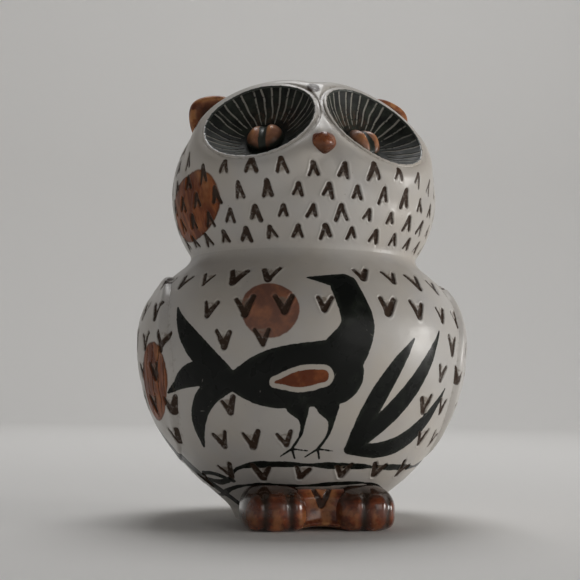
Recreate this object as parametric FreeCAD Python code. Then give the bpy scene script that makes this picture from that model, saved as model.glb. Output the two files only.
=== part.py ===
import FreeCAD, Part
import math
import os

from FreeCAD import Vector

# Hollow stoneware owl figurine, standing on its base and looking along -Y.
# +Z is up, the origin is the centre of the footprint on the table, and all
# sizes are millimetres. "left" is the -X side, "right" the +X side.

# Body and head are two egg shapes, one on the other, a little flatter from
# front to back than from side to side.
DEPTH_RATIO = 0.93
BODY_RADIUS = 55.6
BODY_WIDEST_Z = 60.0
BODY_RISE = 36.0
BODY_DROP = 60.0
HEAD_RADIUS = 46.0
HEAD_WIDEST_Z = 110.0
HEAD_RISE = 40.2
NECK_BLEND = 8.0
NECK_JOINT_Z = 87.5

# The underside spreads into a short foot ring.
BASE_RADIUS = 22.0
BASE_FLARE = 0.5
BASE_TOP_Z = 20.0
BASE_BLEND = 6.0

# The clay wall, the floor plate let into it and the vent hole for firing.
WALL = 5.0
FLOOR = 5.0
PLATE_RADIUS = 17.0
VENT_RADIUS = 4.0
PROFILE_STEPS = 22

# Eye dishes: shallow bowls let into the face, turned out and up.
EYE_X = 19.3
EYE_Y = -26.5
EYE_Z = 129.7
EYE_YAW = 27.6
EYE_PITCH = 38.2
DISH_RADIUS = 18.0
DISH_DEPTH = 9.0
DISH_EDGE = 19.0
DISH_SIDE = 2.5
DISH_WALL = 3.5
RIM_INNER = 17.8
RIM_OUTER = 19.6
RIM_HEIGHT = 1.0
POCKET_HEIGHT = 14.0

# Pupils: flattened balls with a scored upright slot.
PUPIL_RADIUS = 6.8
PUPIL_CENTRE_DEPTH = 7.4
PUPIL_HALF_HEIGHT = 4.0
SLOT_WIDTH = 2.4
SLOT_DEPTH = 0.7

# Beak: a blunt four-sided nub between and below the eyes.
BEAK_WIDTH = 11.0
BEAK_HEIGHT = 10.0
BEAK_SHOULDER = 0.55
BEAK_Z = 120.2
BEAK_ROOT_Y = -34.0
BEAK_ROOT_SCALE = 1.35
BEAK_TIP_Y = -47.0
BEAK_TIP_SCALE = 0.4
BEAK_TIP_DROP = 1.6
BEAK_ROUNDING = 1.3

# Ears: small cupped lobes behind the eye dishes.
EAR_X = 31.0
EAR_Y = 8.0
EAR_Z = 139.7
EAR_HALF_WIDTH = 8.8
EAR_HALF_DEPTH = 4.2
EAR_HALF_HEIGHT = 8.8
EAR_LEAN = 38.0
EAR_CUP_DEPTH = 2.6
EAR_LIP = 1.8

# Wings: thin panels laid on the sides, pointed at the lower back. The outline
# is (y, z) seen from the side, from the tip round the front edge to the tip.
WING_PROUD = 1.1
WING_OUTLINE = (
    (30.0, 18.0),
    (8.0, 16.0),
    (-14.0, 23.0),
    (-25.0, 37.0),
    (-28.5, 56.0),
    (-21.0, 73.0),
    (-4.0, 81.0),
    (15.0, 78.0),
    (28.0, 58.0),
    (30.0, 18.0),
)

# Feet: three toes each, with a web of clay between the two feet.
FOOT_X = 13.7
TOE_SPACING = 5.8
TOE_HALF_WIDTH = 4.9
TOE_HALF_LENGTH = 15.0
TOE_HALF_HEIGHT = 8.6
TOE_Y = -27.0
TOE_Z = 5.4
OUTER_TOE_SETBACK = 1.2
WEB_HALF_WIDTH = 7.0
WEB_FRONT_Y = -36.0
WEB_BOTTOM_Z = 1.0
WEB_TOP_Z = 12.6
WEB_NOTCH_WIDTH = 5.0
WEB_NOTCH_DEPTH = 1.5

FAR = 200.0


def smooth_max(a, b, blend):
    """The larger of two radii, with a fillet where they are nearly equal."""
    overlap = max(blend - abs(a - b), 0.0) / blend
    return max(a, b) + overlap * overlap * blend / 4.0


def ellipse_radius(radius, offset, half_height):
    """Radius of an ellipsoid at a height offset from its middle."""
    return radius * math.sqrt(max(0.0, 1.0 - (offset / half_height) ** 2))


def outer_radius(z):
    """Side-to-side half width of the owl at height z."""
    reach = BODY_RISE if z > BODY_WIDEST_Z else BODY_DROP
    body = ellipse_radius(BODY_RADIUS, z - BODY_WIDEST_Z, reach)
    base = BASE_RADIUS + BASE_FLARE * z if z < BASE_TOP_Z else 0.0
    head = ellipse_radius(HEAD_RADIUS, z - HEAD_WIDEST_Z, HEAD_RISE)
    return smooth_max(smooth_max(body, base, BASE_BLEND), head, NECK_BLEND)


def egg_solid(bottom_z, inset):
    """The owl's rounded outside, drawn in by inset, above bottom_z."""
    top_z = HEAD_WIDEST_Z + HEAD_RISE - inset
    span = HEAD_WIDEST_Z - bottom_z
    side = []
    for step in range(PROFILE_STEPS + 1):
        z = bottom_z + span * step / PROFILE_STEPS
        side.append(Vector(outer_radius(z) - inset, 0, z))
    curve = Part.BSplineCurve()
    curve.interpolate(side)
    major = Vector(HEAD_RADIUS - inset, 0, HEAD_WIDEST_Z)
    minor = Vector(0, 0, top_z)
    crown = Part.Ellipse(major, minor, Vector(0, 0, HEAD_WIDEST_Z))
    edges = [
        Part.makeLine(Vector(0, 0, bottom_z), side[0]),
        curve.toShape(),
        Part.Arc(crown, 0, math.pi / 2).toShape(),
        Part.makeLine(minor, Vector(0, 0, bottom_z)),
    ]
    face = Part.Face(Part.Wire(Part.__sortEdges__(edges)))
    return flatten(face.revolve(Vector(0, 0, 0), Vector(0, 0, 1), 360))


def flatten(shape):
    """Make a round shape a little shallower from front to back."""
    squeeze = FreeCAD.Matrix()
    squeeze.A22 = DEPTH_RATIO
    return shape.transformGeometry(squeeze)


def ellipsoid(centre, half_sizes, turn=None):
    """A closed ellipsoid, turned about its own centre."""
    stretch = FreeCAD.Matrix()
    stretch.A11 = half_sizes[0]
    stretch.A22 = half_sizes[1]
    stretch.A33 = half_sizes[2]
    shape = Part.makeSphere(1.0).transformGeometry(stretch)
    shape.Placement = FreeCAD.Placement(centre, turn or FreeCAD.Rotation())
    return shape


def half_space(above, level):
    """A big block above or below the given height."""
    corner_z = level if above else level - FAR
    return Part.makeBox(2 * FAR, 2 * FAR, FAR, Vector(-FAR, -FAR, corner_z))


def eye_placement(side):
    """Local frame of an eye dish: Z out of the dish, Y up its slope."""
    yaw = math.radians(EYE_YAW) * side
    pitch = math.radians(EYE_PITCH)
    across = Vector(math.cos(yaw), math.sin(yaw), 0)
    out = Vector(
        math.sin(yaw) * math.cos(pitch),
        -math.cos(yaw) * math.cos(pitch),
        math.sin(pitch),
    )
    up = out.cross(across)
    turn = FreeCAD.Rotation(across, up, out)
    return FreeCAD.Placement(Vector(side * EYE_X, EYE_Y, EYE_Z), turn)


def spin(points_and_arcs, side):
    """Revolve a closed profile about the eye's own axis and put it in place."""
    face = Part.Face(Part.Wire(points_and_arcs))
    shape = face.revolve(Vector(0, 0, 0), Vector(0, 0, 1), 360)
    shape.Placement = eye_placement(side)
    return shape


def arc_through_axis(radius, depth, edge_z):
    """A round bowl curve from the axis, depth down, out to radius at edge_z."""
    drop = depth + edge_z
    ball = (radius * radius + drop * drop) / (2.0 * drop)
    middle_r = radius / 2.0
    middle_z = -depth + ball - math.sqrt(ball * ball - middle_r * middle_r)
    return Part.Arc(
        Vector(0, 0, -depth), Vector(middle_r, 0, middle_z), Vector(radius, 0, edge_z)
    ).toShape()


def dish_envelope(side):
    """Everything that the dish and its rim take out of the face."""
    under = arc_through_axis(DISH_EDGE, DISH_DEPTH + DISH_WALL, -DISH_SIDE)
    bowl = spin(
        [
            under,
            Part.makeLine(Vector(DISH_EDGE, 0, -DISH_SIDE), Vector(DISH_EDGE, 0, 0)),
            Part.makeLine(Vector(DISH_EDGE, 0, 0), Vector(0, 0, 0)),
            Part.makeLine(Vector(0, 0, 0), Vector(0, 0, -DISH_DEPTH - DISH_WALL)),
        ],
        side,
    )
    pocket = Part.makeCylinder(RIM_OUTER, POCKET_HEIGHT)
    pocket.Placement = eye_placement(side)
    return bowl.fuse(pocket)


def eye_dish(side):
    """A round bowl of even wall with a flat lip for the rim coil."""
    inside = arc_through_axis(DISH_RADIUS, DISH_DEPTH, 0.0)
    under = arc_through_axis(DISH_EDGE, DISH_DEPTH + DISH_WALL, -DISH_SIDE)
    return spin(
        [
            inside,
            Part.makeLine(Vector(DISH_RADIUS, 0, 0), Vector(DISH_EDGE, 0, 0)),
            Part.makeLine(Vector(DISH_EDGE, 0, 0), Vector(DISH_EDGE, 0, -DISH_SIDE)),
            under,
            Part.makeLine(
                Vector(0, 0, -DISH_DEPTH - DISH_WALL), Vector(0, 0, -DISH_DEPTH)
            ),
        ],
        side,
    )


def eye_rim(side):
    """A half-round coil of clay round the lip of the dish."""
    middle = (RIM_INNER + RIM_OUTER) / 2.0
    crown = Part.Arc(
        Vector(RIM_INNER, 0, 0), Vector(middle, 0, RIM_HEIGHT), Vector(RIM_OUTER, 0, 0)
    ).toShape()
    return spin(
        [crown, Part.makeLine(Vector(RIM_OUTER, 0, 0), Vector(RIM_INNER, 0, 0))], side
    )


def pupil(side):
    """A flattened ball seated on the floor of the dish."""
    place = eye_placement(side)
    sizes = (PUPIL_RADIUS, PUPIL_RADIUS, PUPIL_HALF_HEIGHT)
    ball = ellipsoid(Vector(0, 0, -PUPIL_CENTRE_DEPTH), sizes)
    top = PUPIL_HALF_HEIGHT - PUPIL_CENTRE_DEPTH
    slot = Part.makeBox(
        SLOT_WIDTH,
        4 * PUPIL_RADIUS,
        FAR,
        Vector(-SLOT_WIDTH / 2, -2 * PUPIL_RADIUS, top - SLOT_DEPTH),
    )
    ball = ball.cut(slot)
    ball.transformShape(place.toMatrix())
    return ball.cut(eye_dish(side))


def beak(outside):
    """A blunt pyramid with rounded edges, rooted in the face."""
    sections = []
    for y, scale, drop in (
        (BEAK_ROOT_Y, BEAK_ROOT_SCALE, 0.0),
        (BEAK_TIP_Y, BEAK_TIP_SCALE, BEAK_TIP_DROP),
    ):
        z = BEAK_Z - drop
        half_w = scale * BEAK_WIDTH / 2.0
        half_h = scale * BEAK_HEIGHT / 2.0
        corners = [
            Vector(-half_w, y, z + half_h * BEAK_SHOULDER),
            Vector(0, y, z + half_h),
            Vector(half_w, y, z + half_h * BEAK_SHOULDER),
            Vector(0, y, z - half_h),
        ]
        sections.append(Part.makePolygon(corners + corners[:1]))
    nub = Part.makeLoft(sections, True, True)
    free_edges = [e for e in nub.Edges if e.BoundBox.YMin < BEAK_ROOT_Y - 1.0]
    return nub.makeFillet(BEAK_ROUNDING, free_edges).cut(outside)


def ear(side, outside):
    """A small lobe leaning outwards, hollowed like a cup at the front."""
    centre = Vector(side * EAR_X, EAR_Y, EAR_Z)
    turn = FreeCAD.Rotation(Vector(0, 1, 0), side * EAR_LEAN)
    sizes = (EAR_HALF_WIDTH, EAR_HALF_DEPTH, EAR_HALF_HEIGHT)
    lobe = ellipsoid(centre, sizes, turn)
    cup_sizes = (EAR_HALF_WIDTH - EAR_LIP, EAR_CUP_DEPTH, EAR_HALF_HEIGHT - EAR_LIP)
    cup = ellipsoid(centre - Vector(0, EAR_HALF_DEPTH, 0), cup_sizes, turn)
    lobe = lobe.cut(cup).cut(outside)
    return max(lobe.Solids, key=lambda solid: solid.Volume)


def wing(side, outside, grown):
    """A thin leaf of clay that follows the side of the body."""
    outline = Part.BSplineCurve()
    outline.interpolate([Vector(0, y, z) for y, z in WING_OUTLINE])
    leaf = Part.Face(Part.Wire(outline.toShape())).extrude(Vector(side * FAR, 0, 0))
    panel = grown.cut(outside).common(leaf)
    return max(panel.Solids, key=lambda solid: solid.Volume)


def grown_body():
    """The body's outside, larger by the thickness of a wing."""
    return egg_solid(0.0, -WING_PROUD)


def foot(side, outside):
    """Three rounded toes side by side, flat underneath."""
    shape = None
    for toe in (-1, 0, 1):
        y = TOE_Y + OUTER_TOE_SETBACK * abs(toe)
        centre = Vector(side * FOOT_X + toe * TOE_SPACING, y, TOE_Z)
        sizes = (TOE_HALF_WIDTH, TOE_HALF_LENGTH, TOE_HALF_HEIGHT)
        lobe = ellipsoid(centre, sizes)
        shape = lobe if shape is None else shape.fuse(lobe)
    shape = shape.common(half_space(True, 0.0)).cut(outside)
    return max(shape.Solids, key=lambda solid: solid.Volume)


def foot_web(outside, feet):
    """The sunk panel between the feet, with a small notch at its top."""
    width = 2 * WEB_HALF_WIDTH
    height = WEB_TOP_Z - WEB_BOTTOM_Z
    corner = Vector(-WEB_HALF_WIDTH, WEB_FRONT_Y, WEB_BOTTOM_Z)
    block = Part.makeBox(width, -WEB_FRONT_Y, height, corner)
    front_bottom = [
        edge
        for edge in block.Edges
        if edge.BoundBox.YMax < WEB_FRONT_Y + 1.0 and edge.BoundBox.ZMax < WEB_BOTTOM_Z + 1.0
    ]
    block = block.makeFillet(2.0, front_bottom)
    half = WEB_NOTCH_WIDTH / 2.0
    notch = Part.Face(
        Part.makePolygon(
            [
                Vector(-half, WEB_FRONT_Y, WEB_TOP_Z),
                Vector(half, WEB_FRONT_Y, WEB_TOP_Z),
                Vector(0, WEB_FRONT_Y, WEB_TOP_Z - WEB_NOTCH_WIDTH),
                Vector(-half, WEB_FRONT_Y, WEB_TOP_Z),
            ]
        )
    ).extrude(Vector(0, WEB_NOTCH_DEPTH, 0))
    block = block.cut(notch).cut(outside)
    for neighbour in feet:
        block = block.cut(neighbour)
    return max(block.Solids, key=lambda solid: solid.Volume)


def plate_blank():
    """The slightly oval disc that fills the opening in the underside."""
    side = Vector(PLATE_RADIUS, 0, 0)
    back = Vector(0, PLATE_RADIUS * DEPTH_RATIO, 0)
    outline = Part.Ellipse(side, back, Vector(0, 0, 0)).toShape()
    return Part.Face(Part.Wire(outline)).extrude(Vector(0, 0, FLOOR))


def floor_plate():
    """The disc that closes the underside, with the vent hole in it."""
    return plate_blank().cut(Part.makeCylinder(VENT_RADIUS, FLOOR))


def shells(outside):
    """The hollow body pot and head pot, one standing on the other."""
    hollow = outside.cut(egg_solid(FLOOR, WALL))
    hollow = hollow.cut(plate_blank())
    body = hollow.common(half_space(False, NECK_JOINT_Z))
    head = hollow.common(half_space(True, NECK_JOINT_Z))
    for side in (-1, 1):
        head = head.cut(dish_envelope(side))
    return body, head


def save(name, shape):
    """Write one sub-part as its own file."""
    solids = shape.Solids
    if len(solids) != 1 or not solids[0].isValid():
        raise ValueError(f"{name}: {len(solids)} solids, valid {shape.isValid()}")
    solids[0].exportStep(f"parts/{name}.step")
    print(f"{name:16s} {solids[0].Volume / 1000:8.2f} cm3")


os.makedirs("parts", exist_ok=True)
owl_outside = egg_solid(0.0, 0.0)
body_shell, head_shell = shells(owl_outside)
save("body_shell", body_shell)
save("head_shell", head_shell)
save("base_plate", floor_plate())
save("beak", beak(owl_outside))
body_and_wing = grown_body()
feet = []
for side, label in ((-1, "left"), (1, "right")):
    save("eye_dish_" + label, eye_dish(side))
    save("eye_rim_" + label, eye_rim(side))
    save("pupil_" + label, pupil(side))
    save("ear_" + label, ear(side, owl_outside))
    save("wing_" + label, wing(side, owl_outside, body_and_wing))
    feet.append(foot(side, owl_outside))
    save("foot_" + label, feet[-1])
save("foot_web", foot_web(owl_outside, feet))
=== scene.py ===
import math

import bpy
import numpy as np
from mathutils import Matrix, Vector


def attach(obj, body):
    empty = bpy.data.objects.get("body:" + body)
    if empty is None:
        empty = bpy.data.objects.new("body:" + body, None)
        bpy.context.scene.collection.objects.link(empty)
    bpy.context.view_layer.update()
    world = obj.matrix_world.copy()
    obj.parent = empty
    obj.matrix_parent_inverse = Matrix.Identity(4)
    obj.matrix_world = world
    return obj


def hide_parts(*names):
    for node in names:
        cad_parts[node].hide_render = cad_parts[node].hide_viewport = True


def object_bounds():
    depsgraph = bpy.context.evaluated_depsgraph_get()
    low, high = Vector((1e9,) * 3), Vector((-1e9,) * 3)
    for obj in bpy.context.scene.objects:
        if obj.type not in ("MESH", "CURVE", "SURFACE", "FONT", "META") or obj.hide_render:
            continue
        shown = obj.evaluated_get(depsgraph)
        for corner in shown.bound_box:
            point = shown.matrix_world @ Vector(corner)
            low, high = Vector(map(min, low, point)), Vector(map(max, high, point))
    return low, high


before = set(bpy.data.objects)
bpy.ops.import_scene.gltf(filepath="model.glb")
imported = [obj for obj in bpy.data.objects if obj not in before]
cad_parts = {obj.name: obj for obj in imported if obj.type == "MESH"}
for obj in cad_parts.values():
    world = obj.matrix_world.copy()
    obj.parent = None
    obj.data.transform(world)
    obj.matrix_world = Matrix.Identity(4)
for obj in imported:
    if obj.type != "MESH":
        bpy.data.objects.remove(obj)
cad_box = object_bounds()

# Sizes are millimetres and angles degrees, as in the CAD source, and every mesh
# is scaled to metres when it is made. Azimuth 0 is the front, -Y, and grows
# towards +X, the right of someone facing the owl.
MM = 0.001

# The two egg shapes of body and head, with the same sizes as the CAD solids.
DEPTH_RATIO = 0.93
BODY_RADIUS = 55.6
BODY_WIDEST_Z = 60.0
BODY_RISE = 36.0
BODY_DROP = 60.0
HEAD_RADIUS = 46.0
HEAD_WIDEST_Z = 110.0
HEAD_RISE = 40.2
NECK_BLEND = 8.0
NECK_JOINT_Z = 87.5
BASE_RADIUS = 22.0
BASE_FLARE = 0.5
BASE_TOP_Z = 20.0
BASE_BLEND = 6.0
WALL = 5.0
FLOOR = 5.0
PLATE_RADIUS = 17.0

# Eye dishes.
EYE_CENTRE = (19.3, -26.5, 130.3)
EYE_SHIFT = -0.6  # both eyes sit this far off the middle
EYE_YAW = 27.6
EYE_PITCH = 38.2
DISH_RADIUS = 18.3
DISH_DEPTH = 9.0
DISH_EDGE = 19.2
DISH_SIDE = 2.5
DISH_WALL = 3.5
RIM_INNER = 18.1
RIM_OUTER = 19.5
RIM_HEIGHT = 0.62
RIM_SPREAD = 9.0
PUPIL_CENTRE_DEPTH = 7.4
SCORE_LINES = 34
BEHIND_FACE = -30.0  # nothing further in than this belongs to an eye

# Mesh sizes: edges are split until they are shorter than these.
PLAIN_EDGE = 1.3
PAINT_EDGE = 0.8
STAMP_EDGE = 0.42
HIDDEN_EDGE = 6.0
WING_EDGE = 0.6
RIM_EDGE = 0.45
UNDER_DISH_EDGE = 2.5
OUTSIDE_STEP = 4.3
CORNER_STEP = 2.5
INSIDE_STEP = 7.0
BODY_COLUMNS = 80
HEAD_COLUMNS = 72
SHARP_ANGLE = math.radians(60)

SEED = 7


# ------------------------------------------------------------------ clay form
def smooth_max(a, b, blend):
    """The larger of two radii, with a fillet where they are nearly equal."""
    overlap = np.maximum(blend - np.abs(a - b), 0.0) / blend
    return np.maximum(a, b) + overlap * overlap * blend / 4.0


def smoothstep(low, high, value):
    """0 below low, 1 above high, and an even curve between them."""
    t = np.clip((value - low) / (high - low), 0.0, 1.0)
    return t * t * (3.0 - 2.0 * t)


def ellipse_radius(radius, offset, reach):
    """Radius of an ellipsoid at a height offset from its middle."""
    return radius * np.sqrt(np.maximum(0.0, 1.0 - (offset / reach) ** 2))


def outer_radius(z):
    """Side-to-side half width of the owl at height z."""
    z = np.asarray(z, float)
    reach = np.where(z > BODY_WIDEST_Z, BODY_RISE, BODY_DROP)
    body = ellipse_radius(BODY_RADIUS, z - BODY_WIDEST_Z, reach)
    base = np.where(z < BASE_TOP_Z, BASE_RADIUS + BASE_FLARE * z, 0.0)
    head = ellipse_radius(HEAD_RADIUS, z - HEAD_WIDEST_Z, HEAD_RISE)
    return smooth_max(smooth_max(body, base, BASE_BLEND), head, NECK_BLEND)


def on_surface(azimuth, z):
    """The point of the plain outer surface at an azimuth and a height."""
    angle = np.radians(azimuth)
    r = outer_radius(z)
    x = r * np.sin(angle)
    y = -DEPTH_RATIO * r * np.cos(angle)
    return np.stack(np.broadcast_arrays(x, y, z), -1)


SLOPE_Z = np.linspace(0.0, HEAD_WIDEST_Z + HEAD_RISE, 1500)
SLOPE_R = outer_radius(SLOPE_Z)
SLOPE_S = np.concatenate([[0.0], np.cumsum(np.hypot(np.diff(SLOPE_R), np.diff(SLOPE_Z)))])


def flat(azimuth, z):
    """Unrolls the surface: across is the girth from the front, up the slope length."""
    azimuth = np.asarray(azimuth, float)
    z = np.asarray(z, float)
    across = np.radians(azimuth) * outer_radius(z)
    return across, np.interp(z, SLOPE_Z, SLOPE_S)


def wrapped(azimuth):
    """Azimuth brought between -180 and 180."""
    return (np.asarray(azimuth) + 180.0) % 360.0 - 180.0


class Profile:
    """A closed outline in radius and height, with corners where pieces meet."""

    def __init__(self, pieces):
        radius, height, outside, self.rows = [], [], [], [0.0]
        length = 0.0
        for r, z, is_outside, step in pieces:
            r, z = np.asarray(r, float), np.asarray(z, float)
            run = np.hypot(np.diff(r), np.diff(z)).sum()
            count = max(1, int(round(run / step)))
            self.rows += list(length + run * np.arange(1, count + 1) / count)
            length += run
            radius.append(r)
            height.append(z)
            outside.append(np.full(len(r), float(is_outside)))
        self.radius = np.concatenate(radius)
        self.height = np.concatenate(height)
        self.outside = np.concatenate(outside)
        gaps = np.hypot(np.diff(self.radius), np.diff(self.height))
        self.along = np.concatenate([[0.0], np.cumsum(gaps)])

    def at(self, v):
        """Radius, height and whether it is the outside, at arc length v."""
        r = np.interp(v, self.along, self.radius)
        z = np.interp(v, self.along, self.height)
        return r, z, np.interp(v, self.along, self.outside)


def turned(profile, azimuth, v, lift=0.0):
    """Points of a turned shape, with lift added along the outward normal."""
    r, z, _ = profile.at(v)
    step = 0.05
    r_before, z_before, _ = profile.at(v - step)
    r_after, z_after, _ = profile.at(v + step)
    slope = np.hypot(r_after - r_before, z_after - z_before) + 1e-9
    normal_r = -(z_after - z_before) / slope
    normal_z = (r_after - r_before) / slope
    angle = np.radians(azimuth)
    sine, cosine = np.sin(angle), np.cos(angle)
    r_moved = r + lift * normal_r
    return np.stack(
        [r_moved * sine, -DEPTH_RATIO * r_moved * cosine, z + lift * normal_z], -1
    )


# ---------------------------------------------------------------- mesh making
def between(a, b, periods):
    """Halfway between two sets of parameters, the short way round a period."""
    step = b - a
    for column, period in enumerate(periods):
        if period:
            step[:, column] = (step[:, column] + period / 2) % period - period / 2
    return a + step / 2.0


def split_edges(params, triangles, place, limit_of, periods, rounds=7):
    """Splits long edges, always the longest of a triangle first, until none is over its limit."""
    for _ in range(rounds):
        corners = np.stack(
            [triangles[:, [0, 1]], triangles[:, [1, 2]], triangles[:, [2, 0]]], 1
        )
        keys = np.sort(corners.reshape(-1, 2), axis=1)
        edges, where = np.unique(keys, axis=0, return_inverse=True)
        where = where.reshape(-1, 3)
        middle = between(params[edges[:, 0]], params[edges[:, 1]], periods)
        points = place(params)
        length = np.linalg.norm(points[edges[:, 0]] - points[edges[:, 1]], axis=1)
        marked = length > limit_of(middle)
        if not marked.any():
            break
        longest = where[np.arange(len(where)), np.argmax(length[where], axis=1)]
        while True:
            touched = marked[where].any(axis=1)
            grown = marked.copy()
            grown[longest[touched]] = True
            if (grown == marked).all():
                break
            marked = grown
        new_index = np.full(len(edges), -1)
        new_index[marked] = len(params) + np.arange(marked.sum())
        params = np.concatenate([params, middle[marked]])
        triangles = split_triangles(triangles, where, new_index, length)
    return params, triangles


def split_triangles(triangles, where, new_index, length):
    """The smaller triangles that come of the split edges."""
    longest = np.argmax(length[where], axis=1)
    row = np.arange(len(triangles))
    turn = [(longest + k) % 3 for k in range(3)]
    a, b, c = (triangles[row, t] for t in turn)
    on_ab, on_bc, on_ca = (new_index[where[row, t]] for t in turn)
    out = [np.stack([a, b, c], -1)[on_ab < 0]]
    split = on_ab >= 0
    left, right = split & (on_ca < 0), split & (on_ca >= 0)
    out.append(np.stack([a, on_ab, c], -1)[left])
    out.append(np.stack([a, on_ab, on_ca], -1)[right])
    out.append(np.stack([on_ca, on_ab, c], -1)[right])
    left, right = split & (on_bc < 0), split & (on_bc >= 0)
    out.append(np.stack([on_ab, b, c], -1)[left])
    out.append(np.stack([on_ab, b, on_bc], -1)[right])
    out.append(np.stack([on_ab, on_bc, c], -1)[right])
    return np.concatenate(out)


def band_grid(rows, columns, closed=False):
    """Triangles of a full turn, each row half a column on from the last.

    A closed grid joins its last row to its first, so it needs an even number of rows.
    """
    step = 360.0 / columns
    around = np.arange(columns)
    params = [
        np.stack([(around + 0.5 * (i % 2)) * step, np.full(columns, v)], -1)
        for i, v in enumerate(rows)
    ]
    triangles = []
    for i in range(len(rows) if closed else len(rows) - 1):
        low = i * columns
        high = (i + 1) % len(rows) * columns
        here, after = around, (around + 1) % columns
        if i % 2:
            triangles.append(np.stack([low + here, high + here, high + after], -1))
            triangles.append(np.stack([low + here, high + after, low + after], -1))
        else:
            triangles.append(np.stack([low + here, high + here, low + after], -1))
            triangles.append(np.stack([low + after, high + here, high + after], -1))
    return np.concatenate(params), np.concatenate(triangles)


def weld(points, triangles):
    """Joins corners that lie on one another and drops triangles with no area."""
    keys = np.round(points / 1e-4).astype(np.int64)
    _, first, inverse = np.unique(keys, axis=0, return_index=True, return_inverse=True)
    triangles = inverse.reshape(-1)[triangles]
    real = (
        (triangles[:, 0] != triangles[:, 1])
        & (triangles[:, 1] != triangles[:, 2])
        & (triangles[:, 2] != triangles[:, 0])
    )
    return first, triangles[real]


def make_piece(name, points, faces, node, material, attributes=None):
    """A smooth mesh piece in metres that rides on the body and replaces its CAD node."""
    mesh = bpy.data.meshes.new(name)
    points = np.clip(np.asarray(points) * MM, cad_box[0], cad_box[1])
    mesh.from_pydata(points.tolist(), [], np.asarray(faces).tolist())
    mesh.polygons.foreach_set("use_smooth", [True] * len(mesh.polygons))
    for key, values in (attributes or {}).items():
        layer = mesh.attributes.new(key, "FLOAT", "POINT")
        layer.data.foreach_set("value", np.asarray(values, np.float32))
    mesh.set_sharp_from_angle(angle=SHARP_ANGLE)
    mesh.materials.append(material)
    piece = bpy.data.objects.new(name, mesh)
    bpy.context.scene.collection.objects.link(piece)
    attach(piece, "root")
    if node:
        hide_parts(node)
    return piece


def unit(vectors):
    """Vectors of length one."""
    return vectors / np.maximum(np.linalg.norm(vectors, axis=-1, keepdims=True), 1e-12)


# --------------------------------------------------------------- stamped marks
class Stamp:
    """One triangular chevron pressed into the clay, apex up or down."""

    def __init__(self, azimuth, z, size, width, tilt, apex_up, arms):
        step = 0.5
        self.centre = on_surface(azimuth, z)
        across = unit(on_surface(azimuth + step, z) - on_surface(azimuth - step, z))
        up = unit(on_surface(azimuth, z + step) - on_surface(azimuth, z - step))
        turn = math.radians(tilt)
        self.across = across * math.cos(turn) + up * math.sin(turn)
        self.up = up * math.cos(turn) - across * math.sin(turn)
        if not apex_up:
            self.up = -self.up
        self.size = size
        self.half_width = size * width / 2
        self.arms = arms


STAMP_DEPTH = 0.6
STAMP_FILL_DEPTH = 0.15
STAMP_LIP = 0.11
STAMP_REACH = 1.4
CLEAR = 9.0


def segment_distance(u, v, start, end):
    """Distance to a straight line piece and how far along it the nearest point is."""
    du, dv = end[0] - start[0], end[1] - start[1]
    t = np.clip(((u - start[0]) * du + (v - start[1]) * dv) / (du * du + dv * dv), 0, 1)
    return np.hypot(u - start[0] - t * du, v - start[1] - t * dv), t


def press_stamps(points, stamps):
    """Depth of the marks, the distance to their cuts and to their filled middles."""
    lift = np.zeros(len(points))
    cut = np.full(len(points), CLEAR)
    fill = np.full(len(points), CLEAR)
    for stamp in stamps:
        offset = points - stamp.centre
        near = np.nonzero((offset**2).sum(-1) < (stamp.size * STAMP_REACH) ** 2)[0]
        if not len(near):
            continue
        u = offset[near] @ stamp.across
        v = offset[near] @ stamp.up
        half_w, half_h = stamp.half_width, stamp.size / 2
        arms = np.full(len(near), CLEAR)
        for side, (reach, weight) in zip((-1, 1), stamp.arms):
            foot = (side * half_w * 0.8 * reach, half_h * (0.75 - 1.65 * reach))
            gap, t = segment_distance(u, v, (0.0, half_h * 0.75), foot)
            thick = stamp.size * weight * (0.19 - 0.06 * t)
            arms = np.minimum(arms, gap - thick)
        slope = math.hypot(half_w, stamp.size)
        inside = (stamp.size * np.abs(u) + half_w * (v - half_h)) / slope
        middle = np.maximum(inside, -(v + half_h * 0.75))
        pressed = -STAMP_DEPTH * smoothstep(0.3, -0.35, arms)
        filled = -STAMP_FILL_DEPTH * smoothstep(0.2, -0.3, middle)
        lip = STAMP_LIP * np.exp(-(((arms - 0.5) / 0.28) ** 2)) * smoothstep(0.1, 0.5, middle)
        lift[near] += np.minimum(pressed, filled) + lip
        cut[near] = np.minimum(cut[near], arms)
        fill[near] = np.minimum(fill[near], middle)
    return lift, cut, fill


# ---------------------------------------------------------------- brush strokes
def smooth_line(points, per_span=8):
    """A smooth line through points of any width, as a list of closer points."""
    points = np.asarray(points, float)
    ends = np.concatenate([[2 * points[0] - points[1]], points, [2 * points[-1] - points[-2]]])
    t = (np.arange(per_span) / per_span)[:, None]
    spans = []
    for a, b, c, d in zip(ends[:-3], ends[1:-2], ends[2:-1], ends[3:]):
        spans.append(
            0.5
            * (
                2 * b
                + (c - a) * t
                + (2 * a - 5 * b + 4 * c - d) * t**2
                + (3 * b - a - 3 * c + d) * t**3
            )
        )
    return np.concatenate(spans + [points[-1:]])


def stroke(across, up, points):
    """Distance to a tapering brush stroke through (azimuth, height, width) points."""
    line = smooth_line(points)
    line_across, line_up = flat(line[:, 0], line[:, 1])
    half = np.maximum(line[:, 2], 0.05) / 2
    margin = half.max() + 4.0
    near = np.nonzero(
        (across > line_across.min() - margin)
        & (across < line_across.max() + margin)
        & (up > line_up.min() - margin)
        & (up < line_up.max() + margin)
    )[0]
    out = np.full(len(across), CLEAR)
    if not len(near):
        return out
    best = np.full(len(near), CLEAR)
    for i in range(len(line) - 1):
        start = (line_across[i], line_up[i])
        end = (line_across[i + 1], line_up[i + 1])
        gap, t = segment_distance(across[near], up[near], start, end)
        best = np.minimum(best, gap - (half[i] * (1 - t) + half[i + 1] * t))
    out[near] = best
    return out


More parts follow.
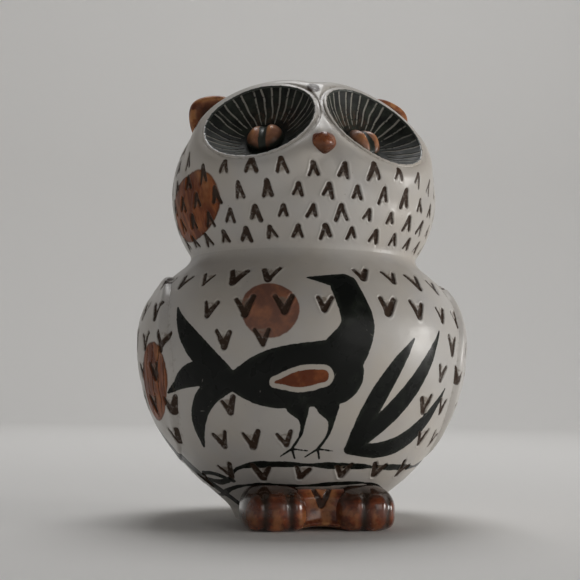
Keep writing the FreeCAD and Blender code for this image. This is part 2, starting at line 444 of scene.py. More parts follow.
def oval(across, up, azimuth, z, half_across, half_up, tilt=0.0):
    """Roughly the distance to an oval spot."""
    middle_across, middle_up = flat(azimuth, z)
    turn = math.radians(tilt)
    du, dv = across - middle_across, up - middle_up
    u = du * math.cos(turn) + dv * math.sin(turn)
    v = dv * math.cos(turn) - du * math.sin(turn)
    grow = np.hypot(u / half_across, v / half_up)
    return np.minimum((grow - 1.0) * min(half_across, half_up), CLEAR)


def union(*distances):
    """Distance to the nearest of several shapes."""
    return np.minimum.reduce(distances)


# ------------------------------------------------------------------ decoration
# The painted bird, leaves and lines, as brush strokes of (azimuth, height, width).
def bent(start, end, bend, widths):
    """A brush stroke from start to end, bowed to one side, with widths along it."""
    run, climb = end[0] - start[0], end[1] - start[1]
    length = math.hypot(run, climb)
    points = []
    for i, width in enumerate(widths):
        share = i / (len(widths) - 1)
        bow = bend * math.sin(math.pi * share) / length
        azimuth = start[0] + run * share - bow * climb
        z = start[1] + climb * share + bow * run
        points.append((azimuth, z, width))
    return points


BIRD_HIPS = (-13, -3)
BIRD_FOOT_Z = 25
BIRD = [
    ((-33, 45, 5), (-18, 46, 18), (0, 48, 20)),
    ((2, 51, 15), (8, 62, 11), (5, 75, 9)),
    ((5, 76, 7), (-8, 77, 0.6)),
]
for tip, bend in (((-56, 68), 2), ((-60, 42), -4), ((-52, 25), -5)):
    BIRD.append(bent((-32, 45), tip, bend, (5, 8, 7, 1)))
TOES = []
for hip in BIRD_HIPS:
    BIRD.append(bent((hip + 2, 39), (hip, BIRD_FOOT_Z), 3, (8, 2.4, 1, 0.9)))
    for reach, toe_z in ((-5, 22.5), (1, 22), (6, 24.5)):
        TOES.append(((hip, BIRD_FOOT_Z, 0.9), (hip + reach, toe_z, 0.5)))
SPRIG = []
for tip, bend in (((29, 59), 2), ((42, 62), -3), ((50, 44), -8)):
    SPRIG.append(bent((10, 25), tip, bend, (4, 6, 6, 4.5, 0.7)))
SIDE_STROKES = [
    bent((-58, 5), (-100, 42), 3, (2, 4, 4.5, 3, 0.8)),
    bent((-66, 16), (-46, 14), 1, (2, 1.8, 1.8)),
    bent((84, 13), (118, 40), 2, (0.8, 2.2, 2, 0.7)),
]
BACK_SPRIG = [bent((180, 20), (180, 54), 1, (2.5, 3, 2.6, 1))]
for z in (30, 42):
    for side in (-1, 1):
        BACK_SPRIG.append(bent((180, z), (180 + 17 * side, z + 16), side, (2, 5.5, 0.8)))
FRONT_LINE = ((-70, 13), (-50, 14), (-25, 20), (70, 18))
LINE_WIDTH = 2.2
FOOT_LINE_WIDTH = 1.7
# Oval spots of orange slip: azimuth, height, half width, half height, tilt.
HEAD_SPOTS = ((-66, 102, 16, 11, 5), (122, 104, 12, 10, -5))
BODY_SPOTS = ((-70, 45, 10, 13, -5), (84, 52, 10, 13, 5), (150, 48, 9, 12, -5))
CHEST_SPOT = (-20, 67, 9, 9, 0)
MEDALLION = ((-18, 45, 0.6), (-10, 46, 5), (-3, 47, 4))
MEDALLION_BORDER = 1.5


def line_height(azimuth):
    """Height of the painted ground line all the way round."""
    front = smooth_line(FRONT_LINE)
    back = 19.0 + 1.2 * np.sin(np.radians(azimuth * 7)) + 0.6 * np.sin(np.radians(azimuth * 3 + 40))
    ahead = np.interp(azimuth, front[:, 0], front[:, 1])
    share = smoothstep(78, 55, np.abs(azimuth + 4))
    return back * (1 - share) + ahead * share


def foot_line_height(azimuth):
    """Height of the second line, just above the feet."""
    return 8.4 + 5.2 * smoothstep(74, 24, np.abs(azimuth + 2)) + 0.5 * np.sin(np.radians(azimuth * 5))


def body_paint(azimuth, z):
    """Distances to the painted shapes of the body, negative inside."""
    across, up = flat(azimuth, z)
    around = np.where(azimuth < 0, azimuth + 360.0, azimuth)
    across_back, _ = flat(around, z)
    strokes = [stroke(across, up, s) for s in BIRD + TOES + SPRIG + SIDE_STROKES]
    strokes += [stroke(across_back, up, s) for s in BACK_SPRIG]
    _, line = flat(0, line_height(azimuth))
    swell = 1.0 + 0.28 * np.sin(np.radians(azimuth * 11)) + 0.15 * np.sin(np.radians(azimuth * 23 + 50))
    strokes.append(np.minimum(np.abs(up - line) - LINE_WIDTH / 2 * swell, CLEAR))
    _, foot_line = flat(0, foot_line_height(azimuth))
    strokes.append(np.minimum(np.abs(up - foot_line) - FOOT_LINE_WIDTH / 2 * swell, CLEAR))
    spots = []
    for spot in BODY_SPOTS:
        spots.append(oval(across, up, *spot))
    medal = stroke(across, up, MEDALLION)
    return {
        "dark": union(*strokes),
        "orange": union(*spots),
        "rust": oval(across, up, *CHEST_SPOT),
        "medal": medal,
        "across": across,
    }


def head_paint(azimuth, z):
    """Distances to the painted shapes of the head, negative inside."""
    across, up = flat(azimuth, z)
    nothing = np.full(len(across), CLEAR)
    return {
        "dark": nothing,
        "orange": union(*(oval(across, up, *spot) for spot in HEAD_SPOTS)),
        "rust": nothing,
        "medal": nothing,
        "across": None,
    }


SCORE_SPACING = 4.1
SCORE_DEPTH = 0.3
SCORE_HALF_WIDTH = 0.35


def scored(paint, z):
    """Upright lines scored through the body's orange spots: depth and distance."""
    if paint["across"] is None:
        return np.zeros(len(z)), np.full(len(z), CLEAR)
    sway = 0.5 * np.sin(z * 0.3) + 0.25 * np.sin(z * 0.9)
    gap = np.abs((paint["across"] + sway + SCORE_SPACING / 2) % SCORE_SPACING - SCORE_SPACING / 2)
    inside = smoothstep(-0.2, -1.4, paint["orange"])
    lift = -SCORE_DEPTH * smoothstep(SCORE_HALF_WIDTH, 0.0, gap) * inside
    return lift, np.where(inside > 0.02, gap - SCORE_HALF_WIDTH * inside, CLEAR)


# -------------------------------------------------------------- node materials
class Nodes:
    """A short way to write a node material."""

    def __init__(self, name):
        self.material = bpy.data.materials.new(name)
        self.material.use_nodes = True
        self.tree = self.material.node_tree
        self.shader = self.tree.nodes["Principled BSDF"]
        coordinates = self.tree.nodes.new("ShaderNodeTexCoord")
        self.place = coordinates.outputs["Object"]

    def link(self, source, target):
        if isinstance(source, (int, float)):
            target.default_value = source
        elif isinstance(source, (tuple, list)):
            target.default_value = (*source, 1.0)
        else:
            self.tree.links.new(source, target)

    def attribute(self, name):
        node = self.tree.nodes.new("ShaderNodeAttribute")
        node.attribute_name = name
        return node.outputs["Fac"]

    def math(self, operation, a, b=0.0, c=0.0):
        node = self.tree.nodes.new("ShaderNodeMath")
        node.operation = operation
        for value, socket in zip((a, b, c), node.inputs):
            self.link(value, socket)
        return node.outputs[0]

    def ramp(self, value, low, high, out_low=0.0, out_high=1.0, smooth=True):
        node = self.tree.nodes.new("ShaderNodeMapRange")
        node.interpolation_type = "SMOOTHSTEP" if smooth else "LINEAR"
        self.link(value, node.inputs["Value"])
        ends = (("From Min", low), ("From Max", high), ("To Min", out_low), ("To Max", out_high))
        for socket, end in ends:
            node.inputs[socket].default_value = end
        return node.outputs["Result"]

    def mix(self, share, a, b, blend="MIX"):
        node = self.tree.nodes.new("ShaderNodeMix")
        node.data_type = "RGBA"
        node.blend_type = blend
        self.link(share, node.inputs["Factor"])
        self.link(a, node.inputs["A"])
        self.link(b, node.inputs["B"])
        return node.outputs["Result"]

    def stretched(self, scale):
        node = self.tree.nodes.new("ShaderNodeMapping")
        node.inputs["Scale"].default_value = scale
        self.link(self.place, node.inputs["Vector"])
        return node.outputs["Vector"]

    def noise(self, size_mm, detail=3.0, roughness=0.55, vector=None, distortion=0.0):
        """Cloudy noise whose lumps are about size_mm across."""
        node = self.tree.nodes.new("ShaderNodeTexNoise")
        self.link(vector or self.place, node.inputs["Vector"])
        node.inputs["Scale"].default_value = 1.0 / (size_mm * MM)
        node.inputs["Detail"].default_value = detail
        node.inputs["Roughness"].default_value = roughness
        node.inputs["Distortion"].default_value = distortion
        return node.outputs["Fac"]

    def cells(self, size_mm, feature="F1"):
        """Distance to scattered points about size_mm apart."""
        node = self.tree.nodes.new("ShaderNodeTexVoronoi")
        node.feature = feature
        self.link(self.place, node.inputs["Vector"])
        node.inputs["Scale"].default_value = 1.0 / (size_mm * MM)
        return node.outputs["Distance"]

    def fuzz(self, size_mm, detail, reach):
        """Noise between -reach and reach, which frays the edge of a colour."""
        return self.ramp(self.noise(size_mm, detail), 0.0, 1.0, -reach, reach, smooth=False)

    def bump(self, height, distance_mm, strength=1.0, under=None):
        node = self.tree.nodes.new("ShaderNodeBump")
        node.inputs["Strength"].default_value = strength
        node.inputs["Distance"].default_value = distance_mm * MM
        self.link(height, node.inputs["Height"])
        if under is not None:
            self.link(under, node.inputs["Normal"])
        return node.outputs["Normal"]

    def finish(self, color, roughness, normal, coat=0.0, specular=0.5):
        self.link(color, self.shader.inputs["Base Color"])
        self.link(roughness, self.shader.inputs["Roughness"])
        self.link(normal, self.shader.inputs["Normal"])
        self.link(coat, self.shader.inputs["Coat Weight"])
        self.link(specular, self.shader.inputs["Specular IOR Level"])
        self.shader.inputs["Coat Roughness"].default_value = 0.12
        return self.material


WHITE = (0.56, 0.535, 0.505)
WHITE_WARM = (0.53, 0.485, 0.43)
WHITE_COOL = (0.49, 0.475, 0.47)
STAIN = (0.050, 0.030, 0.020)
STAIN_PALE = (0.21, 0.165, 0.125)
STAIN_WARM = (0.13, 0.075, 0.048)
GREEN_BLACK = (0.0075, 0.0085, 0.0075)
GREEN_OLIVE = (0.030, 0.036, 0.027)
ORANGE = (0.34, 0.105, 0.034)
ORANGE_DEEP = (0.150, 0.040, 0.016)
ORANGE_PALE = (0.50, 0.215, 0.080)
TAN = (0.46, 0.205, 0.115)
TAN_DEEP = (0.26, 0.105, 0.055)
AMBER = (0.29, 0.068, 0.021)
AMBER_DEEP = (0.125, 0.027, 0.011)
BROWN = (0.070, 0.022, 0.012)
OUTLINE = (0.035, 0.018, 0.010)
SCRATCH = (0.30, 0.285, 0.25)


def white_glaze(n):
    """Off-white satin glaze with soft clouds of warmer and cooler grey."""
    color = n.mix(n.ramp(n.noise(38, 2), 0.35, 0.7), WHITE, WHITE_WARM)
    color = n.mix(n.ramp(n.noise(17, 3), 0.45, 0.75, 0, 0.6), color, WHITE_COOL)
    specks = n.math("MULTIPLY", n.ramp(n.cells(2.3), 0.10, 0.04), n.ramp(n.noise(9, 2), 0.56, 0.66))
    return n.mix(n.math("MULTIPLY", specks, 0.6), color, STAIN_PALE)


def slip_dark(n, distance):
    """Green-black slip, thinner and greener at its edges and along brush hairs."""
    hairs = n.noise(2.2, 3, 0.6, n.stretched((1.0, 1.0, 0.45)), 0.3)
    thin = n.ramp(distance, -1.6, -0.1, 0.0, 0.75)
    thin = n.math("MULTIPLY", thin, n.ramp(hairs, 0.35, 0.7))
    thin = n.math("MAXIMUM", thin, n.ramp(n.noise(11, 2), 0.58, 0.78, 0.0, 0.6))
    return n.mix(thin, GREEN_BLACK, GREEN_OLIVE)


def slip_orange(n, distance):
    """Orange slip brushed upright, with a dark outline."""
    hairs = n.noise(3.0, 4, 0.6, n.stretched((1.0, 1.0, 0.16)), 0.4)
    color = n.mix(n.ramp(hairs, 0.38, 0.66), ORANGE_DEEP, ORANGE)
    color = n.mix(n.ramp(n.noise(7, 2), 0.5, 0.75, 0.0, 0.55), color, ORANGE_PALE)
    return n.mix(n.ramp(distance, -0.9, -0.15, 0.0, 0.45), color, OUTLINE)


def painted_clay(name):
    """The glaze of body, head and wings with everything painted on it."""
    n = Nodes(name)
    wobble = n.fuzz(2.6, 3, 0.28)
    fine = n.fuzz(0.7, 2, 0.12)
    edge = n.math("ADD", wobble, fine)

    def distance(attribute, shift=0.0):
        moved = n.math("ADD", n.attribute(attribute), edge)
        return n.math("ADD", moved, shift) if shift else moved

    color = white_glaze(n)
    rust = distance("rust")
    rust_color = n.mix(n.ramp(n.noise(5, 3), 0.42, 0.75), ORANGE_DEEP, ORANGE)
    color = n.mix(n.ramp(rust, 0.25, -0.25, 0, 0.9), color, rust_color)
    orange = distance("orange")
    orange_share = n.ramp(orange, 0.2, -0.3)
    color = n.mix(orange_share, color, slip_orange(n, orange))
    color = n.mix(n.ramp(distance("score"), 0.1, -0.2, 0, 0.8), color, OUTLINE)
    dark = distance("dark")
    dark_share = n.ramp(dark, 0.10, -0.10)
    color = n.mix(dark_share, color, slip_dark(n, dark))
    color = n.mix(n.ramp(distance("medal", -MEDALLION_BORDER), 0.1, -0.1), color, WHITE_WARM)
    medal = distance("medal")
    medal_color = n.mix(n.ramp(n.noise(4, 3), 0.46, 0.92), ORANGE_DEEP, ORANGE)
    color = n.mix(n.ramp(medal, 0.1, -0.15), color, medal_color)
    color = n.mix(n.ramp(n.attribute("scratch"), 0.12, -0.08, 0, 0.75), color, SCRATCH)
    halo = n.math("MULTIPLY", n.ramp(distance("stamp"), 0.7, -0.1), n.ramp(n.noise(1.4, 3), 0.4, 0.6))
    color = n.mix(n.math("MULTIPLY", halo, 0.75), color, STAIN_PALE)
    worn = n.ramp(n.noise(1.3, 2), 0.24, 0.5, 0.66, 1.0)
    stain = n.math("MULTIPLY", n.ramp(distance("cut"), 0.22, -0.12), worn)
    color = n.mix(stain, color, STAIN)
    rub = n.math("MULTIPLY", n.ramp(n.attribute("rub"), 0.0, 1.0), n.ramp(n.noise(1.7, 4, 0.7), 0.5, 0.62))
    color = n.mix(rub, color, STAIN_PALE)
    roughness = n.ramp(n.noise(8, 3), 0.3, 0.7, 0.30, 0.46)
    roughness = n.math("SUBTRACT", roughness, n.math("MULTIPLY", dark_share, 0.10))
    hand = n.bump(n.noise(14, 2), 0.55, 0.8)
    brush = n.bump(n.noise(1.6, 3), 0.035, 0.8, hand)
    relief = n.bump(dark_share, 0.05, 0.9, brush)
    pigment = n.math("MAXIMUM", n.math("MAXIMUM", dark_share, stain), orange_share)
    coat = n.math("MULTIPLY", n.math("SUBTRACT", 1.0, pigment), 0.12)
    specular = n.math("SUBTRACT", 0.5, n.math("MULTIPLY", pigment, 0.34))
    return n.finish(color, roughness, relief, coat, specular)


def orange_glaze(name, colors, rough, coat, clouds):
    """Orange-brown glaze, dark where glaze pools in grooves and where painted shade is laid into hollows,
    undersides and joins, with painted highlights on the crests.
    """
    n = Nodes(name)
    color = n.mix(n.ramp(n.noise(4.5, 4, 0.6, None, 0.5), 0.36, 0.66), *colors)
    color = n.mix(n.ramp(n.noise(7, 4, 0.6, None, 1.2), 0.44, 0.60, 0.0, clouds), color, BROWN)
    # Painted highlight: crests are lightened towards pale orange as if lit.
    painted_highlight = n.math("MULTIPLY", n.attribute("painted_highlight"), n.ramp(n.noise(3.2, 3), 0.38, 0.62))
    color = n.mix(painted_highlight, color, ORANGE_PALE)
    # Painted shade, along with glaze pooled in grooves and marks: darkens towards the outline brown.
    pooled_glaze_and_shade = n.math("MULTIPLY", n.attribute("pooled_glaze_and_shade"), n.ramp(n.noise(1.6, 2), 0.1, 0.5, 0.7, 1.0))
    color = n.mix(pooled_glaze_and_shade, color, OUTLINE)
    green = n.math("ADD", n.attribute("green"), n.fuzz(0.9, 2, 0.25))
    color = n.mix(n.ramp(green, 0.15, -0.15), color, GREEN_OLIVE)
    roughness = n.ramp(n.noise(3, 3), 0.3, 0.7, rough - 0.07, rough + 0.07)
    normal = n.bump(n.noise(2.4, 3), 0.10, 0.7)
    return n.finish(color, roughness, normal, coat, 0.4)


def dish_glaze(name):
    """Green-black glaze scratched through to the pale clay in fine lines."""
    n = Nodes(name)
    color = n.mix(n.ramp(n.noise(5, 3), 0.35, 0.7), GREEN_BLACK, GREEN_OLIVE)
    worn = n.math("MULTIPLY", n.attribute("worn"), n.ramp(n.noise(1.5, 4, 0.7), 0.42, 0.66))
    color = n.mix(n.math("MULTIPLY", worn, 0.75), color, STAIN_WARM)
    line = n.math("MULTIPLY", n.attribute("line"), n.ramp(n.noise(1.0, 3), 0.28, 0.5, 0.35, 1.0))
    color = n.mix(n.ramp(line, 0.25, 0.75), color, SCRATCH)
    pale = n.math("ADD", n.attribute("lip"), n.fuzz(0.9, 2, 0.2))
    color = n.mix(n.ramp(pale, -0.1, 0.1), color, WHITE_WARM)
    roughness = n.ramp(n.noise(4, 3), 0.3, 0.7, 0.46, 0.62)
    normal = n.bump(n.noise(0.8, 3), 0.05, 0.8)
    return n.finish(color, roughness, normal, 0.0, 0.2)


def rim_glaze(name):
    """White glaze worn thin along the coil, with brown in its hollows."""
    n = Nodes(name)
    color = white_glaze(n)
    rub = n.math("MULTIPLY", n.attribute("rub"), n.ramp(n.noise(1.2, 4, 0.7), 0.42, 0.6))
    color = n.mix(n.math("MULTIPLY", rub, 0.8), color, STAIN_PALE)
    inner = n.math("ADD", n.attribute("inner"), n.fuzz(0.8, 2, 0.3))
    color = n.mix(n.ramp(inner, -0.12, 0.12), color, GREEN_OLIVE)
    normal = n.bump(n.noise(1.8, 3), 0.12, 0.8)
    return n.finish(color, n.ramp(n.noise(5, 3), 0.3, 0.7, 0.3, 0.45), normal, 0.15)


def bare_clay(name):
    """Unglazed stoneware, sandy, with dark grit and drag marks."""
    n = Nodes(name)
    color = n.mix(n.ramp(n.noise(6, 4), 0.3, 0.7), (0.36, 0.235, 0.155), (0.27, 0.165, 0.105))
    color = n.mix(n.ramp(n.cells(1.1), 0.16, 0.06, 0, 0.7), color, STAIN)
    normal = n.bump(n.noise(0.5, 4, 0.7), 0.12, 0.9)
    normal = n.bump(n.noise(5, 2), 0.3, 0.6, normal)
    return n.finish(color, n.ramp(n.noise(2, 3), 0.3, 0.7, 0.78, 0.94), normal)


# ---------------------------------------------------------------- body and head
# A wing's outline seen from the side: distance behind the middle, and height.
WING_OUTLINE = (
    (30, 18), (8, 16), (-14, 23), (-25, 37), (-28.5, 56), (-21, 73), (-4, 81), (15, 78), (28, 58),
)
WING_PROUD = 1.1
WING_SUNK = 0.6
WING_ROUNDING = 3.2
WING_RIB = 0.45
WING_MIDDLE_AZIMUTH = 88.0
WING_MIDDLE_Z = 51.0

# Rings of stamped marks. Full rings are even, and each is half a step on from
# the last. The others leave the face or the feet free: height, first and last
# azimuth, and step.
HEAD_RINGS = (92, 98, 104.5, 111)
HEAD_RING_STEP = 12
CROWN_RINGS = (
    (118, 68, 296, 12.5),
    (124.5, 80, 290, 12.5),
    (131, 70, 296, 15.5),
    (138, 96, 270, 20),
    (144, 120, 250, 26),
)
BODY_RINGS = (78, 68, 58.5, 49, 38.5, 28)
BODY_RING_STEP = 13
FOOT_RINGS = ((17.5, -46, 50, 18.5), (13, 80, 300, 19))
HEAD_MARK_SIZE = 4.4
HEAD_MARK_WIDTH = 0.86
BODY_MARK_SIZE = 5.6
BODY_MARK_WIDTH = 1.06
MARK_TO_PAINT = 2.5


def ring_of_marks(z, first, last, step, sway):
    """Marks round the owl at height z, in a gently waving line."""
    spread = np.arange(first, last, step)
    return [(a, z + sway * math.sin(math.radians(3 * a + z))) for a in spread]


def place_marks(marks, size, width, apex_up, rng):
    """Hand-pressed marks, none quite straight or of the same size."""
    stamps = []
    for azimuth, z in marks:
        scale = rng.uniform(0.88, 1.12)
        tilt = rng.uniform(-11, 11)
        arms = [(rng.uniform(0.82, 1.12), rng.uniform(0.75, 1.2)) for _ in range(2)]
        stamps.append(Stamp(azimuth, z, size * scale, width, tilt, apex_up, arms))
    return stamps


rng = np.random.default_rng(SEED)
head_marks = []
for row, z in enumerate(HEAD_RINGS):
    first = row * HEAD_RING_STEP / 2
    head_marks += ring_of_marks(z, first, first + 359, HEAD_RING_STEP, 0.6)
for z, first, last, step in CROWN_RINGS:
    head_marks += ring_of_marks(z, first, last, step, 0.8)
body_marks = []
for row, z in enumerate(BODY_RINGS):
    first = row * BODY_RING_STEP / 2
    for azimuth, height in ring_of_marks(z, first, first + 359, BODY_RING_STEP, 1.0):
        paint = body_paint(np.array([wrapped(azimuth)]), np.array([height]))
        if paint["dark"][0] > MARK_TO_PAINT:
            body_marks.append((azimuth, height))
for z, first, last, step in FOOT_RINGS:
    body_marks += ring_of_marks(z, first, last, step, 0.6)
head_stamps = place_marks(head_marks, HEAD_MARK_SIZE, HEAD_MARK_WIDTH, True, rng)
body_stamps = place_marks(body_marks, BODY_MARK_SIZE, BODY_MARK_WIDTH, False, rng)


def wing_loop(side, count=160):
    """Azimuth and height round a wing's outline, on the left or right of the front."""
    corners = np.asarray(WING_OUTLINE, float)
    closed = np.concatenate([corners[-2:], corners, corners[:3]])
    line = smooth_line(closed, count // len(corners))
    start = 2 * (count // len(corners))
    line = line[start : start + len(corners) * (count // len(corners))]
    y, z = line[:, 0], line[:, 1]
    x = np.sqrt(np.maximum(outer_radius(z) ** 2 - (y / DEPTH_RATIO) ** 2, 0.0))
    return np.degrees(np.arctan2(side * x, -y / DEPTH_RATIO)), z


def wing_gap(azimuth, z):
    """Distance to the nearer wing's edge along the skin, negative under the wing."""
    out = np.full(len(azimuth), CLEAR * 3)
    for side in (-1, 1):
        loop_azimuth, loop_z = wing_loop(side)
        near = np.nonzero(azimuth * side > 20)[0]
        across, up = flat(azimuth[near], z[near])
        loop_across, loop_up = flat(loop_azimuth, loop_z)
        best = np.full(len(near), CLEAR * 3)
        inside = np.zeros(len(near), bool)
        for i in range(len(loop_z)):
            a = (loop_across[i - 1], loop_up[i - 1])
            b = (loop_across[i], loop_up[i])
            gap, _ = segment_distance(across, up, a, b)
            best = np.minimum(best, gap)
            crosses = (a[1] > up) != (b[1] > up)
            meet = a[0] + (up - a[1]) * (b[0] - a[0]) / (b[1] - a[1] + 1e-12)
            inside ^= crosses & (across < meet)
        out[near] = np.where(inside, -best, best)
    return out


def near_marks(points, stamps, reach):
    """True where a point is within reach of the middle of a mark."""
    found = np.zeros(len(points), bool)
    for stamp in stamps:
        found |= ((points - stamp.centre) ** 2).sum(-1) < (stamp.size * reach) ** 2
    return found


def edge_limit(points, azimuth, z, stamps, paint_of):
    """How long a mesh edge may be there: short at marks and at the edge of paint."""
    limit = np.full(len(points), PLAIN_EDGE)
    paint = paint_of(azimuth, z)
    for key in ("dark", "orange", "rust", "medal"):
        limit[np.abs(paint[key]) < 0.8] = PAINT_EDGE
    limit[paint["orange"] < 0.5] = PAINT_EDGE * 0.8
    limit[near_marks(points, stamps, 0.72)] = STAMP_EDGE
    return limit


def scratches(across, up, rng, count, limits):
    """Distance to a few thin lines scratched through the paint."""
    low, high = limits
    best = np.full(len(across), CLEAR)
    for _ in range(count):
        start_a, start_u = rng.uniform(low[0], high[0]), rng.uniform(low[1], high[1])
        turn = rng.uniform(0, math.pi)
        reach = rng.uniform(3, 8)
        end = (start_a + reach * math.cos(turn), start_u + reach * math.sin(turn))
        gap, t = segment_distance(across, up, (start_a, start_u), end)
        best = np.minimum(best, gap - 0.10 * np.sin(math.pi * t))
    return best


def skin_attributes(azimuth, z, points, stamps, paint_of, on_wing):
    """Lift of the clay and what the glaze has to know, at points of the skin."""
    paint = paint_of(azimuth, z)
    lift, cut, fill = press_stamps(points, stamps)
    score_lift, score = scored(paint, z)
    across, up = flat(azimuth, z)
    scratch = scratches(across, up, np.random.default_rng(SEED), 26, ((-45, 30), (48, 75)))
    edge = wing_gap(azimuth, z)
    seam = np.exp(-(((edge + 0.4) / 1.5) ** 2))
    rub = 0.4 * seam + 0.35 * smoothstep(10, 0, z)
    if not on_wing:
        score = np.where(edge < 0, CLEAR, score)
        score_lift = np.where(edge < 0, 0, score_lift)
    return lift + score_lift, {
        "dark": paint["dark"],
        "orange": paint["orange"],
        "rust": paint["rust"],
        "medal": paint["medal"],
        "score": score,
        "stamp": fill,
        "cut": cut,
        "scratch": np.where(paint["dark"] < -0.2, scratch, CLEAR),
        "rub": np.clip(rub, 0, 1),
    }


def body_profile():
    """Outline of the hollow body: down the outside, under the foot ring, up the inside."""
    outside_z = np.linspace(NECK_JOINT_Z, 0.0, 400)
    inside_z = np.linspace(FLOOR, NECK_JOINT_Z, 100)
    neck = float(outer_radius(NECK_JOINT_Z))
    ledge = float(outer_radius(FLOOR)) - WALL
    return Profile(
        [
            (outer_radius(outside_z), outside_z, 1, OUTSIDE_STEP),
            ((BASE_RADIUS, PLATE_RADIUS), (0, 0), 0, CORNER_STEP),
            ((PLATE_RADIUS, PLATE_RADIUS), (0, FLOOR), 0, CORNER_STEP),
            ((PLATE_RADIUS, ledge), (FLOOR, FLOOR), 0, CORNER_STEP),
            (outer_radius(inside_z) - WALL, inside_z, 0, INSIDE_STEP),
            ((neck - WALL, neck), (NECK_JOINT_Z, NECK_JOINT_Z), 0, CORNER_STEP),
        ]
    )


def head_profile():
    """Outline of the hollow head: from the crown down, in at the neck, and up the inside."""
    turn = np.linspace(0, math.pi / 2, 200)
    crown_z = HEAD_WIDEST_Z + HEAD_RISE * np.cos(turn)
    lower_z = np.linspace(HEAD_WIDEST_Z, NECK_JOINT_Z, 120)[1:]
    outside_z = np.concatenate([crown_z, lower_z])
    outside_r = outer_radius(outside_z)
    outside_r[0] = 0.0
    inside_z = np.linspace(NECK_JOINT_Z, HEAD_WIDEST_Z, 40)
    inner_z = HEAD_WIDEST_Z + (HEAD_RISE - WALL) * np.sin(turn)
    inner_r = (HEAD_RADIUS - WALL) * np.cos(turn)
    inner_r[-1] = 0.0
    neck = float(outer_radius(NECK_JOINT_Z))
    return Profile(
        [
            (outside_r, outside_z, 1, OUTSIDE_STEP),
            ((neck, neck - WALL), (NECK_JOINT_Z, NECK_JOINT_Z), 0, CORNER_STEP),
            (
                np.concatenate([outer_radius(inside_z) - WALL, inner_r[1:]]),
                np.concatenate([inside_z, inner_z[1:]]),
                0,
                INSIDE_STEP,
            ),
        ]
    )


def eye_frame(side):
    """Origin of an eye dish and its axes: across, up its slope, and out."""
    yaw, pitch = math.radians(EYE_YAW) * side, math.radians(EYE_PITCH)
    across = np.array([math.cos(yaw), math.sin(yaw), 0.0])
    out = np.array(
        [math.sin(yaw) * math.cos(pitch), -math.cos(yaw) * math.cos(pitch), math.sin(pitch)]
    )
    origin = np.array([side * EYE_CENTRE[0] + EYE_SHIFT, EYE_CENTRE[1], EYE_CENTRE[2]])
    return origin, np.stack([across, np.cross(out, across), out])


def bowl_height(radius, edge, depth, edge_height):
    """Height of a round bowl over its rim plane at a distance from its axis."""
    drop = depth + edge_height
    ball = (edge * edge + drop * drop) / (2.0 * drop)
    return -depth + ball - np.sqrt(np.maximum(ball * ball - radius * radius, 0.0))


def about_eye(points, side):
    """Height of points over an eye's rim, distance to its axis, and the way out."""
    origin, axes = eye_frame(side)
    local = (points - origin) @ axes.T
    return local[:, 2], np.hypot(local[:, 0], local[:, 1]), axes[2]


UNDER_GAP = 0.12
INNER_SINK = 4.5
BRIDGE_FLAT = 0.9
GROOVE_OUT = 0.7
GROOVE_DEPTH = 0.35
SMUDGE_X = -1.6
SMUDGE_Z = 143.2


def press_dishes(points, outside):
    """Sinks the head's skin under the eye dishes and leads it up to their rims."""
    moves, weights, owned = [], [], []
    for side in (-1, 1):
        height, r, out = about_eye(points, side)
        under = bowl_height(np.minimum(r, DISH_EDGE), DISH_EDGE, DISH_DEPTH + DISH_WALL, -DISH_SIDE)
        step = smoothstep(DISH_RADIUS + 0.5, DISH_EDGE + 0.1, r)
        middle = np.exp(-(((points[:, 0] - EYE_SHIFT) / 2.2) ** 2))
        groove = GROOVE_DEPTH * np.exp(-(((r - RIM_OUTER - GROOVE_OUT) / 0.45) ** 2))
        groove = groove * smoothstep(12.0, 4.0, np.abs(points[:, 0]))
        sunk = 0.05 + BRIDGE_FLAT * middle + groove
        target = (under - UNDER_GAP) * (1 - step) - sunk * step
        target = target - INNER_SINK * (1 - outside)
        weight = smoothstep(RIM_OUTER + RIM_SPREAD, RIM_OUTER, r) * (height > BEHIND_FACE)
        moves.append((target - height)[:, None] * out)
        weights.append(weight)
        owned.append(smoothstep(RIM_OUTER + 3.0, RIM_OUTER + 0.3, r) * (height > BEHIND_FACE))
    left, right = weights[0] * (1 - owned[1]), weights[1] * (1 - owned[0])
    total = np.maximum(left + right, 1.0)
    return points + (left / total)[:, None] * moves[0] + (right / total)[:, None] * moves[1]


def near_rim(points, low, high):
    """True where a point lies in a ring about an eye's axis."""
    found = np.zeros(len(points), bool)
    for side in (-1, 1):
        height, r, _ = about_eye(points, side)
        found |= (r > low) & (r < high) & (height > BEHIND_FACE)
    return found


def body_pot(material):
    """The hollow body, stamped, scored and painted."""
    profile = body_profile()
    rows = profile.rows[:-1]
    if len(rows) % 2:
        rows = rows + [(profile.rows[-2] + profile.rows[-1]) / 2]

    def place(params):
        return turned(profile, params[:, 0], params[:, 1])

    def limit_of(params):
        points = place(params)
        azimuth, z = wrapped(params[:, 0]), points[:, 2]
        limit = edge_limit(points, azimuth, z, body_stamps, body_paint)
        hidden = (profile.at(params[:, 1])[2] < 0.5) | (wing_gap(azimuth, z) < -3.0)
        return np.where(hidden, HIDDEN_EDGE, limit)

    periods = (360.0, profile.rows[-1])
    params, triangles = band_grid(rows, BODY_COLUMNS, closed=True)
    params, triangles = split_edges(params, triangles, place, limit_of, periods)
    points = place(params)
    azimuth = wrapped(params[:, 0])
    outside = profile.at(params[:, 1] % profile.rows[-1])[2]
    lift, attributes = skin_attributes(
        azimuth, points[:, 2], points, body_stamps, body_paint, on_wing=False
    )
    lift = np.where((outside > 0.99) & (wing_gap(azimuth, points[:, 2]) > -2.5), lift, 0.0)
    points = turned(profile, azimuth, params[:, 1], lift)
    points[:, 2] = np.maximum(points[:, 2], 0.0)
    return make_piece(
        "body_pot", points, triangles, "body_shell", material, attributes
    )


